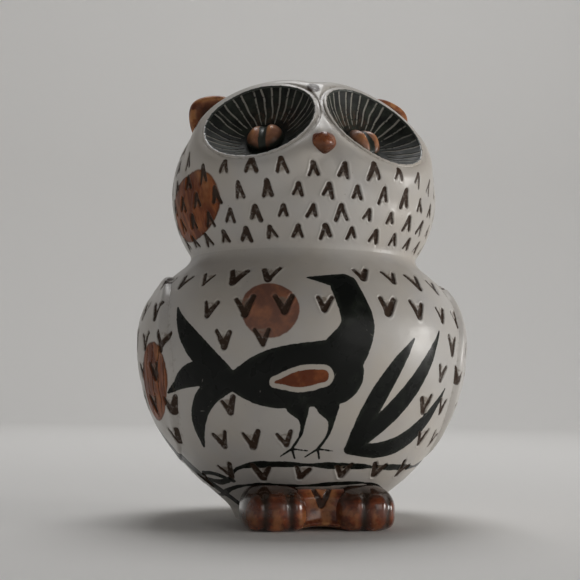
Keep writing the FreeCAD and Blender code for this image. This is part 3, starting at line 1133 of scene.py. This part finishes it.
def head_pot(material):
    """The hollow head, sunk under the eye dishes, stamped and painted."""
    profile = head_profile()

    def place(params):
        outside = profile.at(params[:, 1])[2]
        return press_dishes(turned(profile, params[:, 0], params[:, 1]), outside)

    def limit_of(params):
        plain = turned(profile, params[:, 0], params[:, 1])
        azimuth, z = wrapped(params[:, 0]), plain[:, 2]
        limit = edge_limit(plain, azimuth, z, head_stamps, head_paint)
        limit[near_rim(plain, DISH_RADIUS, RIM_OUTER + 1.5)] = RIM_EDGE
        limit[near_rim(plain, 0, DISH_RADIUS)] = UNDER_DISH_EDGE
        return np.where(profile.at(params[:, 1])[2] < 0.5, HIDDEN_EDGE, limit)

    params, triangles = band_grid(profile.rows, HEAD_COLUMNS)
    params, triangles = split_edges(params, triangles, place, limit_of, (360.0, None))
    plain = turned(profile, params[:, 0], params[:, 1])
    azimuth = wrapped(params[:, 0])
    outside = profile.at(params[:, 1])[2]
    lift, attributes = skin_attributes(
        azimuth, plain[:, 2], plain, head_stamps, head_paint, on_wing=True
    )
    rims = np.zeros(len(plain))
    for side in (-1, 1):
        height, r, _ = about_eye(plain, side)
        line = np.exp(-(((r - RIM_OUTER - GROOVE_OUT) / 0.8) ** 2))
        rims = np.maximum(rims, line * (height > BEHIND_FACE))
    rims = rims * (0.25 + 0.75 * smoothstep(13, 4, np.abs(plain[:, 0])))
    smudge = np.hypot((plain[:, 0] - SMUDGE_X) / 2.3, (plain[:, 2] - SMUDGE_Z) / 1.5) - 1.0
    smudge = np.where(plain[:, 1] < 0, smudge, CLEAR)
    attributes["cut"] = np.minimum(attributes["cut"], smudge)
    lift = np.where(outside > 0.99, lift, 0.0)
    points = press_dishes(turned(profile, azimuth, params[:, 1], lift), outside)
    attributes["rub"] = np.clip(attributes["rub"] + 0.7 * rims, 0, 1)
    first, triangles = weld(points, triangles)
    attributes = {key: values[first] for key, values in attributes.items()}
    return make_piece(
        "head_pot", points[first], triangles, "head_shell", material, attributes
    )


def wing_panel(side, name, node, material):
    """A thin leaf laid on the body, rounded at its edge and sunk a little into the skin."""
    loop_azimuth, loop_z = wing_loop(side)
    turns = np.arange(len(loop_z) + 1) * 360.0 / len(loop_z)
    loop_azimuth = np.append(loop_azimuth, loop_azimuth[0])
    loop_z = np.append(loop_z, loop_z[0])
    middle_azimuth, middle_z = side * WING_MIDDLE_AZIMUTH, WING_MIDDLE_Z

    def skin_place(params):
        s = np.where(params[:, 1] < 1.0, params[:, 1], 2.0 - params[:, 1])
        turn = params[:, 0] % 360.0
        azimuth = middle_azimuth + s * (np.interp(turn, turns, loop_azimuth) - middle_azimuth)
        z = middle_z + s * (np.interp(turn, turns, loop_z) - middle_z)
        return azimuth, z

    def place(params):
        return on_surface(*skin_place(params))

    def limit_of(params):
        azimuth, z = skin_place(params)
        points = on_surface(azimuth, z)
        limit = edge_limit(points, azimuth, z, body_stamps, body_paint)
        limit[params[:, 1] > 0.93] = WING_EDGE
        limit[params[:, 1] > 1.04] = HIDDEN_EDGE
        return limit

    rows = [0.0, 0.25, 0.5, 0.75, 0.93, 1.0, 1.07, 1.4, 2.0]
    params, triangles = band_grid(rows, 48)
    params, triangles = split_edges(params, triangles, place, limit_of, (360.0, None))
    azimuth, z = skin_place(params)
    plain = on_surface(azimuth, z)
    step = 0.3
    along = on_surface(azimuth + step, z) - on_surface(azimuth - step, z)
    upward = on_surface(azimuth, z + step) - on_surface(azimuth, z - step)
    normal = unit(np.cross(along, upward))
    lift, attributes = skin_attributes(azimuth, z, plain, body_stamps, body_paint, on_wing=True)
    gap = -wing_gap(azimuth, z)
    depth = np.clip(gap / WING_ROUNDING, 0.0, 1.0)
    rise = smoothstep(-0.35, 1.0, depth)
    rise = (rise - smoothstep(-0.35, 1.0, 0.0)) / (1.0 - smoothstep(-0.35, 1.0, 0.0))
    rib = WING_RIB * np.exp(-(((gap - 3.6) / 2.0) ** 2)) * depth
    proud = 0.2 + 0.8 * smoothstep(17, 38, z)
    front = -WING_SUNK + (WING_PROUD * proud + WING_SUNK) * rise + rib * proud + lift * depth
    lift = np.where(params[:, 1] > 1.0, -WING_SUNK - 0.4 * depth, front)
    points = plain + normal * lift[:, None]
    return finish_piece(name, points, triangles, node, material, attributes)


# ------------------------------------------------------------------------ eyes
def in_eye(side, a, b, h):
    """Points of an eye's own frame in the owl's frame."""
    origin, axes = eye_frame(side)
    return origin + np.stack([a, b, h], -1) @ axes


def finish_piece(name, points, triangles, node, material, attributes):
    """Welds a piece, turns it right side out and hands it over."""
    first, triangles = weld(points, triangles)
    points = points[first]
    corner = points[triangles]
    volume = np.einsum("ij,ij->i", corner[:, 0], np.cross(corner[:, 1], corner[:, 2])).sum()
    if volume < 0:
        triangles = triangles[:, ::-1]
    attributes = {key: np.asarray(values)[first] for key, values in attributes.items()}
    return make_piece(name, points, triangles, node, material, attributes)


SCORE_FROM = 7.4
SCORE_DEEP = 0.22
BOWL_COLUMNS = SCORE_LINES * 18


def eye_bowl(side, name, node, material, seed):
    """A round bowl with fine lines scratched from the pupil to the rim."""
    rng = np.random.default_rng(seed)
    r_in = np.concatenate([[0.0], np.linspace(3.0, DISH_RADIUS - 0.4, 44), [DISH_RADIUS]])
    h_in = bowl_height(r_in, DISH_RADIUS, DISH_DEPTH, 0.0)
    r_under = np.linspace(DISH_EDGE, 0.0, 12)
    h_under = bowl_height(r_under, DISH_EDGE, DISH_DEPTH + DISH_WALL, -DISH_SIDE)
    r_all = np.concatenate([r_in, [DISH_EDGE], r_under])
    h_all = np.concatenate([h_in, [0.0], h_under])
    inner = len(r_in)

    phases = rng.uniform(0, 2 * math.pi, (SCORE_LINES, 2))
    shift = rng.uniform(-1.6, 1.6, SCORE_LINES)
    bend = rng.uniform(0.4, 1.4, SCORE_LINES)
    strength = rng.uniform(0.55, 1.0, SCORE_LINES)
    starts = SCORE_FROM + rng.uniform(-0.5, 2.2, SCORE_LINES)
    pitch = 360.0 / SCORE_LINES

    params, triangles = band_grid(list(range(len(r_all))), BOWL_COLUMNS)
    row = params[:, 1].astype(int)
    r, h = r_all[row], h_all[row]
    angle = params[:, 0] % 360.0
    index = np.floor(angle / pitch).astype(int) % SCORE_LINES
    centre = (index + 0.5) * pitch + shift[index]
    centre = centre + bend[index] * np.sin(r * 0.42 + phases[index, 0])
    centre = centre + 0.35 * bend[index] * np.sin(r * 1.3 + phases[index, 1])
    gap = np.abs(np.radians(angle - centre) * r)
    width = 0.16 + 0.17 * smoothstep(6, 18, r)
    drawn = smoothstep(starts[index], starts[index] + 1.2, r) * (row < inner)
    line = smoothstep(width + 0.16, width - 0.10, gap) * drawn
    h = h - SCORE_DEEP * line
    radians = np.radians(angle)
    points = in_eye(side, r * np.cos(radians), r * np.sin(radians), h)

    # The side of the bowl towards the beak keeps fainter lines.
    toward = -side * np.cos(radians) - 0.9 * np.sin(radians)
    faint = 1.0 - 0.62 * smoothstep(0.3, 1.1, toward)
    worn = smoothstep(0.2, 1.0, np.sin(radians) - 0.4 * side * np.cos(radians))
    worn = worn * np.exp(-(((r - 10.5) / 3.0) ** 2)) * 0.8
    attributes = {
        "line": line * strength[index] * faint,
        "worn": worn,
        "lip": r - DISH_RADIUS - 0.1,
    }
    return finish_piece(name, points, triangles, node, material, attributes)


def eye_coil(side, name, node, material, seed):
    """The thin raised rim round a bowl, a little uneven and nicked by the scored lines."""
    rng = np.random.default_rng(seed)
    turn = np.linspace(0, math.pi, 9)
    mound = np.stack([np.cos(turn), np.sin(turn)], -1)
    rows = len(mound) + 1
    params, triangles = band_grid(list(range(rows)), 480, closed=True)
    row = params[:, 1].astype(int)
    radians = np.radians(params[:, 0])
    phase = rng.uniform(0, 2 * math.pi, 4)
    uneven = 0.5 * np.sin(3 * radians + phase[0]) + 0.35 * np.sin(7 * radians + phase[1])
    uneven += 0.25 * np.sin(17 * radians + phase[2])
    half = (RIM_OUTER - RIM_INNER) / 2 + 0.07 * uneven
    height = RIM_HEIGHT * (0.82 + 0.16 * np.sin(5 * radians + phase[3]) + 0.08 * uneven)
    nick = np.exp(-((((params[:, 0] % (360 / SCORE_LINES)) - 5.3) / 1.2) ** 2))
    on_mound = row < len(mound)
    u = np.where(on_mound, mound[np.minimum(row, len(mound) - 1), 0], 0.0)
    v = np.where(on_mound, mound[np.minimum(row, len(mound) - 1), 1], 0.0)
    middle = (RIM_INNER + RIM_OUTER) / 2 + 0.08 * uneven
    r = middle + half * u + 0.10 * nick * (u < -0.3)
    h = height * v * (1 - 0.12 * nick * (u < 0.2)) - 0.10
    h = np.where(on_mound, h, -0.6)
    points = in_eye(side, r * np.cos(radians), r * np.sin(radians), h)
    attributes = {
        "inner": -u - 0.30 + 0.3 * nick,
        "rub": np.clip(0.6 * np.abs(u) ** 2 + 0.15 * uneven, 0, 1),
    }
    return finish_piece(name, points, triangles, node, material, attributes)


STRIPE_HALF = 1.3
STRIPE_DEPTH = 1.2
STRIPE_TURN = {-1: 6.0, 1: 8.0}
BALL_RADIUS = 6.3
BALL_HALF_HEIGHT = 3.7


def eye_ball(side, name, node, material):
    """A bean-like pupil: two rounded lobes with a dark upright stripe between them."""
    columns, rings = 120, 30
    params, triangles = band_grid(list(range(2 * rings + 1)), columns)
    lean = params[:, 1] / (2 * rings) * math.pi
    radians = np.radians(params[:, 0])
    waist = 1.0 - 0.10 * np.exp(-((np.cos(radians) / 0.28) ** 2))
    reach = BALL_RADIUS * np.sin(lean) * waist
    a, b = reach * np.cos(radians), 0.94 * reach * np.sin(radians)
    h = BALL_HALF_HEIGHT * np.cos(lean)
    top = smoothstep(0.0, 1.0, np.cos(lean))
    valley = np.exp(-((a / (STRIPE_HALF * 1.1)) ** 2))
    lobe = np.exp(-(((np.abs(a) - 3.2) / 1.6) ** 2)) * np.exp(-((b / 3.4) ** 2))
    h = h + (0.8 * lobe - STRIPE_DEPTH * valley) * top
    turn = math.radians(STRIPE_TURN[side])
    turned_a = a * math.cos(turn) - b * math.sin(turn)
    turned_b = b * math.cos(turn) + a * math.sin(turn)
    points = in_eye(side, turned_a, turned_b, h - PUPIL_CENTRE_DEPTH)
    stripe = np.abs(a + 0.12 * np.sin(b * 0.9 + side)) - STRIPE_HALF
    ring = BALL_RADIUS * 0.95 - reach
    attributes = {
        "green": np.minimum(stripe, ring),
        # Painted highlight on the tops of the two lobes, and painted shade in a dark band round the ball
        # where it meets the dish; the green stripe and ring are paint.
        "painted_highlight": 1.4 * lobe * top,
        "pooled_glaze_and_shade": 0.75 * smoothstep(BALL_RADIUS * 0.72, BALL_RADIUS * 0.98, reach),
    }
    return finish_piece(name, points, triangles, node, material, attributes)


# ---------------------------------------------------------------- beak and ears
def directions(rings, columns):
    """Even directions over a ball, with the triangles that join them."""
    params, triangles = band_grid(list(range(rings + 1)), columns)
    lean = params[:, 1] / rings * math.pi
    turn = np.radians(params[:, 0])
    ball = np.stack([np.sin(lean) * np.cos(turn), np.sin(lean) * np.sin(turn), np.cos(lean)], -1)
    return ball, triangles


def rounded_block(ball, planes, sharpness):
    """Distance from the middle to a block with flat sides and rounded edges."""
    total = np.zeros(len(ball))
    for normal, distance in planes:
        facing = np.maximum(ball @ unit(np.asarray(normal, float)), 0.0)
        total += (facing / distance) ** sharpness
    return total ** (-1.0 / sharpness)


BEAK_CENTRE = (-1.3, -41.2, 120.1)
BEAK_STRETCH = (0.95, 1.0, 0.84)


def beak_nub(material):
    """A blunt four-sided beak with a ridge down its top."""
    ball, triangles = directions(90, 120)
    planes = (
        ((0.66, -0.62, 0.44), 3.7),
        ((-0.66, -0.62, 0.44), 3.7),
        ((0.60, -0.50, -0.66), 3.7),
        ((-0.60, -0.50, -0.66), 3.7),
        ((0, -1, -0.1), 4.6),
        ((0, 1, 0), 4.5),
        ((0, 0, 1), 4.3),
        ((1, 0, -0.1), 4.5),
        ((-1, 0, -0.1), 4.5),
    )
    radius = rounded_block(ball, planes, 6)
    points = ball * radius[:, None] * BEAK_STRETCH + BEAK_CENTRE
    # Painted shade: darker underneath and at the back, where the beak meets the head. Painted highlight:
    # paler on the top and its right side.
    low = smoothstep(120.5, 116.5, points[:, 2] + 0.15 * points[:, 0])
    painted_highlight = smoothstep(119.8, 122.6, points[:, 2]) * smoothstep(-2.5, 2.0, points[:, 0])
    attributes = {
        "pooled_glaze_and_shade": np.clip(0.75 * low + 0.9 * smoothstep(-39.5, -37.0, points[:, 1]), 0, 1),
        "painted_highlight": 0.7 * painted_highlight,
        "green": np.full(len(points), 1.0),
    }
    return finish_piece("beak_nub", points, triangles, "beak", material, attributes)


EAR_CENTRES = {-1: (-31.6, 8.0, 138.9), 1: (30.4, 8.0, 141.0)}
EAR_HALF = (8.8, 4.2, 8.8)
EAR_LEAN = {-1: 10.0, 1: 24.0}
EAR_CUP = 3.4


def ear_lobe(side, name, node, material):
    """A small flap, cupped at the front, leaning out from the crown."""
    ball, triangles = directions(96, 128)
    square = 3.4
    grow = (np.abs(ball[:, 0]) ** square + np.abs(ball[:, 2]) ** square + 1e-9) ** (1 / square)
    plain = np.hypot(ball[:, 0], ball[:, 2]) + 1e-9
    fuller = 1.0 + (plain / grow - 1.0) * 0.6
    a = ball[:, 0] * fuller
    c = ball[:, 2] * fuller
    b = ball[:, 1]
    reach = np.clip(np.hypot(ball[:, 0], ball[:, 2]), 0, 1)
    cup = smoothstep(0.86, 0.3, reach) * (b < 0)
    lip = 0.45 * np.exp(-(((reach - 0.93) / 0.08) ** 2)) * (b < 0)
    x = EAR_HALF[0] * a
    y = EAR_HALF[1] * b * 0.95 + EAR_CUP * cup - lip
    z = EAR_HALF[2] * c * 0.98
    lean = math.radians(EAR_LEAN[side]) * side
    px = x * math.cos(lean) + z * math.sin(lean)
    pz = z * math.cos(lean) - x * math.sin(lean)
    points = np.stack([px, y, pz], -1)
    points = points + EAR_CENTRES[side]
    # Painted shade in the cupped front and over the back of the flap, and a painted highlight along the
    # rim of the cup.
    attributes = {
        "pooled_glaze_and_shade": np.clip(0.85 * cup + 0.6 * smoothstep(0.2, 1.0, b), 0, 1),
        "painted_highlight": np.clip(1.5 * smoothstep(0.66, 0.86, reach) * (b < 0.3), 0, 1),
        "green": np.full(len(points), 1.0),
    }
    return finish_piece(name, points, triangles, node, material, attributes)


# -------------------------------------------------------------------- the feet
FOOT_X = 13.8
FOOT_HALF_WIDTH = 10.4
FOOT_FRONT_Y = -42.0
FOOT_BACK_Y = -16.0
FOOT_HEIGHT = 13.4
TOE_GROOVES = {-1: (-4.4, 3.6), 1: (-1.0, 6.4)}
TOE_GROOVE_DEPTH = 0.65
TOE_GROOVE_WIDTH = 1.2


def toes(side, name, node, material):
    """A barrel of three toes with two grooves scored down its front."""
    columns, rings = 260, 200
    params, triangles = band_grid(list(range(rings + 1)), columns)
    u = -np.cos(params[:, 1] / rings * math.pi)
    x = FOOT_HALF_WIDTH * u
    section = np.maximum(1.0 - np.abs(u) ** 3.6, 0.0) ** (1 / 2.4)
    turn = np.radians(params[:, 0])
    cosine, sine = np.cos(turn), np.sin(turn)
    power = np.where(sine > 0, 3.0, 3.6)
    reach = (np.abs(cosine) ** power + np.abs(sine) ** power) ** (-1 / power)
    y, z = reach * cosine, reach * sine
    groove = np.zeros(len(x))
    bulge = np.zeros(len(x))
    for place in TOE_GROOVES[side]:
        sway = place + 0.3 * np.sin(z * 1.6 + place)
        groove = np.maximum(groove, np.exp(-(((x - sway) / TOE_GROOVE_WIDTH) ** 2)))
        bulge = np.maximum(bulge, np.exp(-(((x - sway) / 2.2) ** 2)))
    front = smoothstep(0.75, 0.1, y) * smoothstep(1.05, 0.72, z)
    scale = section * (1.0 - 0.010 * bulge * front)
    depth = (FOOT_BACK_Y - FOOT_FRONT_Y) / 2
    cut = TOE_GROOVE_DEPTH * groove * front * section
    py = (FOOT_BACK_Y + FOOT_FRONT_Y) / 2 + y * scale * depth + cut * np.clip(-y, 0, 1)
    pz = FOOT_HEIGHT * (0.47 + 0.53 * z * scale) - cut * np.clip(z, -0.2, 1)
    slope = smoothstep(-30.0, -42.0, py)
    pz = np.where(pz > 0.5 * FOOT_HEIGHT, pz - 0.9 * slope * (pz / FOOT_HEIGHT), pz)
    pz = np.maximum(pz - 0.10 * FOOT_HEIGHT * (1 - section), 0.0)
    points = np.stack([side * FOOT_X + x, py, pz], -1)
    # Painted shade: dark in the toe grooves along with pooled glaze, over the top under the belly's
    # overhang, and towards the ends of the barrel. Painted highlight: low on the front of each toe.
    ends = smoothstep(0.80, 1.0, np.abs(u))
    ends_out = ends * (x * side > 0)
    toe = smoothstep(1.4, 3.0, np.min([np.abs(x - place) for place in TOE_GROOVES[side]], 0))
    painted_highlight = toe * smoothstep(0.3, -0.7, y) * smoothstep(0.55, -0.3, z)
    top = smoothstep(0.25, 0.95, z)
    attributes = {
        "pooled_glaze_and_shade": np.clip(0.95 * groove * front + 0.6 * ends + 0.35 * ends_out + 0.85 * top, 0, 1),
        "painted_highlight": 0.4 * painted_highlight * (1 - groove),
        "green": 1.0 - 0.9 * ends_out * smoothstep(-0.3, 0.8, z),
    }
    return finish_piece(name, points, triangles, node, material, attributes)


WEB_HALF = 7.2
WEB_FRONT_Y = -38.0
WEB_BACK_Y = -22.0
WEB_TOP_Z = 12.5


def web_panel(material):
    """The sunk panel between the feet, arched underneath, with a mark pressed in its top."""
    columns, rows = 132, 128
    s = np.linspace(-1, 1, columns + 1)
    t = np.linspace(0, 1, rows + 1)
    grid_s, grid_t = np.meshgrid(s, t)
    x = WEB_HALF * grid_s
    arch = 1.1 - 0.9 * grid_s**2
    z = arch + (WEB_TOP_Z - arch) * grid_t
    hollow = 1.0 * np.exp(-((x / 3.4) ** 2)) * np.exp(-(((z - 6.5) / 3.6) ** 2))
    lip = 1.1 * np.exp(-(((grid_t - 0.05) / 0.10) ** 2))
    rounding = 2.6 * np.maximum(0.0, 1 - grid_t / 0.13) ** 2
    y = WEB_FRONT_Y + 0.6 + hollow - lip + rounding + 1.3 * smoothstep(0.75, 1.0, grid_t)
    arms = np.full(x.shape, CLEAR)
    for arm in (-1, 1):
        gap, along = segment_distance(x, z, (0.0, 7.7), (arm * 2.6, 12.6))
        arms = np.minimum(arms, gap - (0.95 - 0.35 * along))
    y = y + 0.55 * smoothstep(0.35, -0.3, arms)
    front = np.stack([x, y, z], -1).reshape(-1, 3)
    back = front.copy()
    back[:, 1] = WEB_BACK_Y
    points = np.concatenate([front, back])
    wide = columns + 1
    cell = (np.arange(rows)[:, None] * wide + np.arange(columns)[None, :]).ravel()
    sheet = np.concatenate(
        [
            np.stack([cell, cell + 1, cell + wide + 1], -1),
            np.stack([cell, cell + wide + 1, cell + wide], -1),
        ]
    )
    shift = len(front)
    rim = np.concatenate(
        [
            np.arange(columns),
            np.arange(rows) * wide + columns,
            rows * wide + columns - np.arange(columns),
            (rows - np.arange(rows)) * wide,
        ]
    )
    after = np.roll(rim, -1)
    wall = np.concatenate(
        [
            np.stack([after, rim, rim + shift], -1),
            np.stack([after, rim + shift, after + shift], -1),
        ]
    )
    triangles = np.concatenate([sheet, sheet[:, ::-1] + shift, wall])
    # The dark of the pressed mark is stain. Painted shade darkens the panel's sides next to the feet, and
    # a painted highlight lightens its middle and its lower lip.
    dark = smoothstep(0.3, -0.1, arms)
    side_shade = smoothstep(0.7, 1.0, np.abs(grid_s))
    pooled_glaze_and_shade = np.clip(0.9 * dark + 0.6 * side_shade, 0, 1).ravel()
    painted_highlight = np.clip(0.9 * lip + 0.55 * smoothstep(0.9, 0.4, np.abs(grid_s)), 0, 1).ravel()
    both = {"pooled_glaze_and_shade": pooled_glaze_and_shade, "painted_highlight": painted_highlight * (1 - pooled_glaze_and_shade), "green": np.full(len(front), 1.0)}
    attributes = {key: np.concatenate([value, value]) for key, value in both.items()}
    return finish_piece(
        "web_panel", points, triangles, "foot_web", material, attributes
    )


# -------------------------------------------------------------- put it together
painted = painted_clay("painted white glaze")
amber = orange_glaze("glossy amber glaze", (AMBER_DEEP, AMBER), 0.21, 0.4, 0.75)
satin_orange = orange_glaze("satin orange glaze", (ORANGE_DEEP, ORANGE), 0.32, 0.2, 0.1)
dull_orange = orange_glaze("dull orange glaze", (ORANGE_DEEP, ORANGE), 0.46, 0.05, 0.2)
pale_orange = orange_glaze("pale orange glaze", (TAN_DEEP, TAN), 0.42, 0.1, 0.15)
dark_glaze = dish_glaze("scratched dark glaze")
coil_glaze = rim_glaze("worn white glaze")
clay = bare_clay("bare stoneware")

body_pot(painted)
head_pot(painted)
for side, word in ((-1, "left"), (1, "right")):
    wing_panel(side, f"wing_panel_{word}", f"wing_{word}", painted)
    eye_bowl(side, f"eye_bowl_{word}", f"eye_dish_{word}", dark_glaze, SEED + side)
    eye_coil(side, f"eye_coil_{word}", f"eye_rim_{word}", coil_glaze, SEED + 3 + side)
    eye_ball(side, f"eye_ball_{word}", f"pupil_{word}", pale_orange)
    ear_lobe(side, f"ear_lobe_{word}", f"ear_{word}", dull_orange)
    toes(side, f"toes_{word}", f"foot_{word}", amber)
beak_nub(satin_orange)
web_panel(amber)

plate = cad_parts["base_plate"]
plate.data.materials.clear()
plate.data.materials.append(clay)


# ---------------------------------------------------------------- studio, camera
# Sizes of the studio are metres.
FLOOR_RADIUS = 1.3
FLOOR_CURVE = 0.5
WALL_TOP = 1.7


def studio_floor():
    """A plain pale floor that curves up into a round wall."""
    columns = 96
    turn = np.linspace(0, math.pi / 2, 24)
    radius = np.concatenate([[0.02, 0.2, 0.6, 1.0], FLOOR_RADIUS + FLOOR_CURVE * np.sin(turn)])
    height = np.concatenate([[0, 0, 0, 0], FLOOR_CURVE * (1 - np.cos(turn))])
    radius = np.append(radius, FLOOR_RADIUS + FLOOR_CURVE)
    height = np.append(height, WALL_TOP)
    angle = np.arange(columns) * 2 * math.pi / columns
    points = [(0.0, 0.0, 0.0)]
    for r, z in zip(radius, height):
        points += [(r * math.cos(a), r * math.sin(a), z) for a in angle]
    faces = [(0, 1 + i, 1 + (i + 1) % columns) for i in range(columns)]
    for k in range(len(radius) - 1):
        low, high = 1 + k * columns, 1 + (k + 1) * columns
        for i in range(columns):
            j = (i + 1) % columns
            faces.append((low + i, high + i, high + j, low + j))
    mesh = bpy.data.meshes.new("floor")
    mesh.from_pydata(points, [], faces)
    mesh.polygons.foreach_set("use_smooth", [True] * len(mesh.polygons))
    n = Nodes("pale floor")
    n.shader.inputs["Base Color"].default_value = (0.74, 0.73, 0.715, 1.0)
    n.shader.inputs["Roughness"].default_value = 0.9
    mesh.materials.append(n.material)
    floor = bpy.data.objects.new("studio_floor", mesh)
    bpy.context.scene.collection.objects.link(floor)


def soft_light(name, place, target, size, power, color):
    """A large square lamp that faces a point."""
    lamp = bpy.data.lights.new(name, "AREA")
    lamp.size = size
    lamp.energy = power
    lamp.color = color
    holder = bpy.data.objects.new(name, lamp)
    bpy.context.scene.collection.objects.link(holder)
    holder.location = place
    aim = Vector(target) - Vector(place)
    holder.rotation_euler = aim.to_track_quat("-Z", "Y").to_euler()


def pale_world(color, strength):
    """Even light from all round."""
    world = bpy.data.worlds.new("studio air")
    world.use_nodes = True
    background = world.node_tree.nodes["Background"]
    background.inputs["Color"].default_value = (*color, 1.0)
    background.inputs["Strength"].default_value = strength
    bpy.context.scene.world = world


VIEW_AZIMUTH = -9.5
VIEW_ELEVATION = -6.0
VIEW_DISTANCE = 366.0
VIEW_ROLL = 0.78
VIEW_TARGET_SIDE = -4.5
VIEW_TARGET_Z = 77.9
LENS = 65.17
SENSOR_WIDTH = 36.0


def set_camera():
    """The photographer's viewpoint: close, a little to the left, looking slightly up."""
    azimuth, elevation = math.radians(VIEW_AZIMUTH), math.radians(VIEW_ELEVATION)
    back = Vector(
        (
            math.sin(azimuth) * math.cos(elevation),
            -math.cos(azimuth) * math.cos(elevation),
            math.sin(elevation),
        )
    )
    right = Vector((math.cos(azimuth), math.sin(azimuth), 0.0))
    up = back.cross(right)
    roll = math.radians(VIEW_ROLL)
    rolled_right = right * math.cos(roll) + up * math.sin(roll)
    rolled_up = up * math.cos(roll) - right * math.sin(roll)
    target = right * VIEW_TARGET_SIDE + Vector((0, 0, VIEW_TARGET_Z))
    place = (target + back * VIEW_DISTANCE) * MM
    lens = bpy.data.cameras.new("camera")
    lens.sensor_width = SENSOR_WIDTH
    lens.lens = LENS
    lens.clip_start = 0.01
    camera = bpy.data.objects.new("camera", lens)
    bpy.context.scene.collection.objects.link(camera)
    axes = Matrix((rolled_right, rolled_up, back)).transposed().to_4x4()
    camera.matrix_world = Matrix.Translation(place) @ axes
    bpy.context.scene.camera = camera


studio_floor()
soft_light("key light", (0.90, -0.25, 0.11), (0.0, 0.0, 0.04), 0.3, 3.6, (1.0, 0.985, 0.96))
soft_light("front light", (0.35, -0.62, 0.17), (0.0, 0.0, 0.03), 0.34, 0.5, (1.0, 0.98, 0.95))
soft_light("wall light", (0.15, 0.50, 1.5), (0.2, 0.9, 0.0), 0.8, 13.0, (1.0, 1.0, 1.0))
pale_world((0.80, 0.81, 0.83), 0.055)
bpy.context.scene.view_settings.view_transform = "Standard"
set_camera()

bpy.context.view_layer.update()
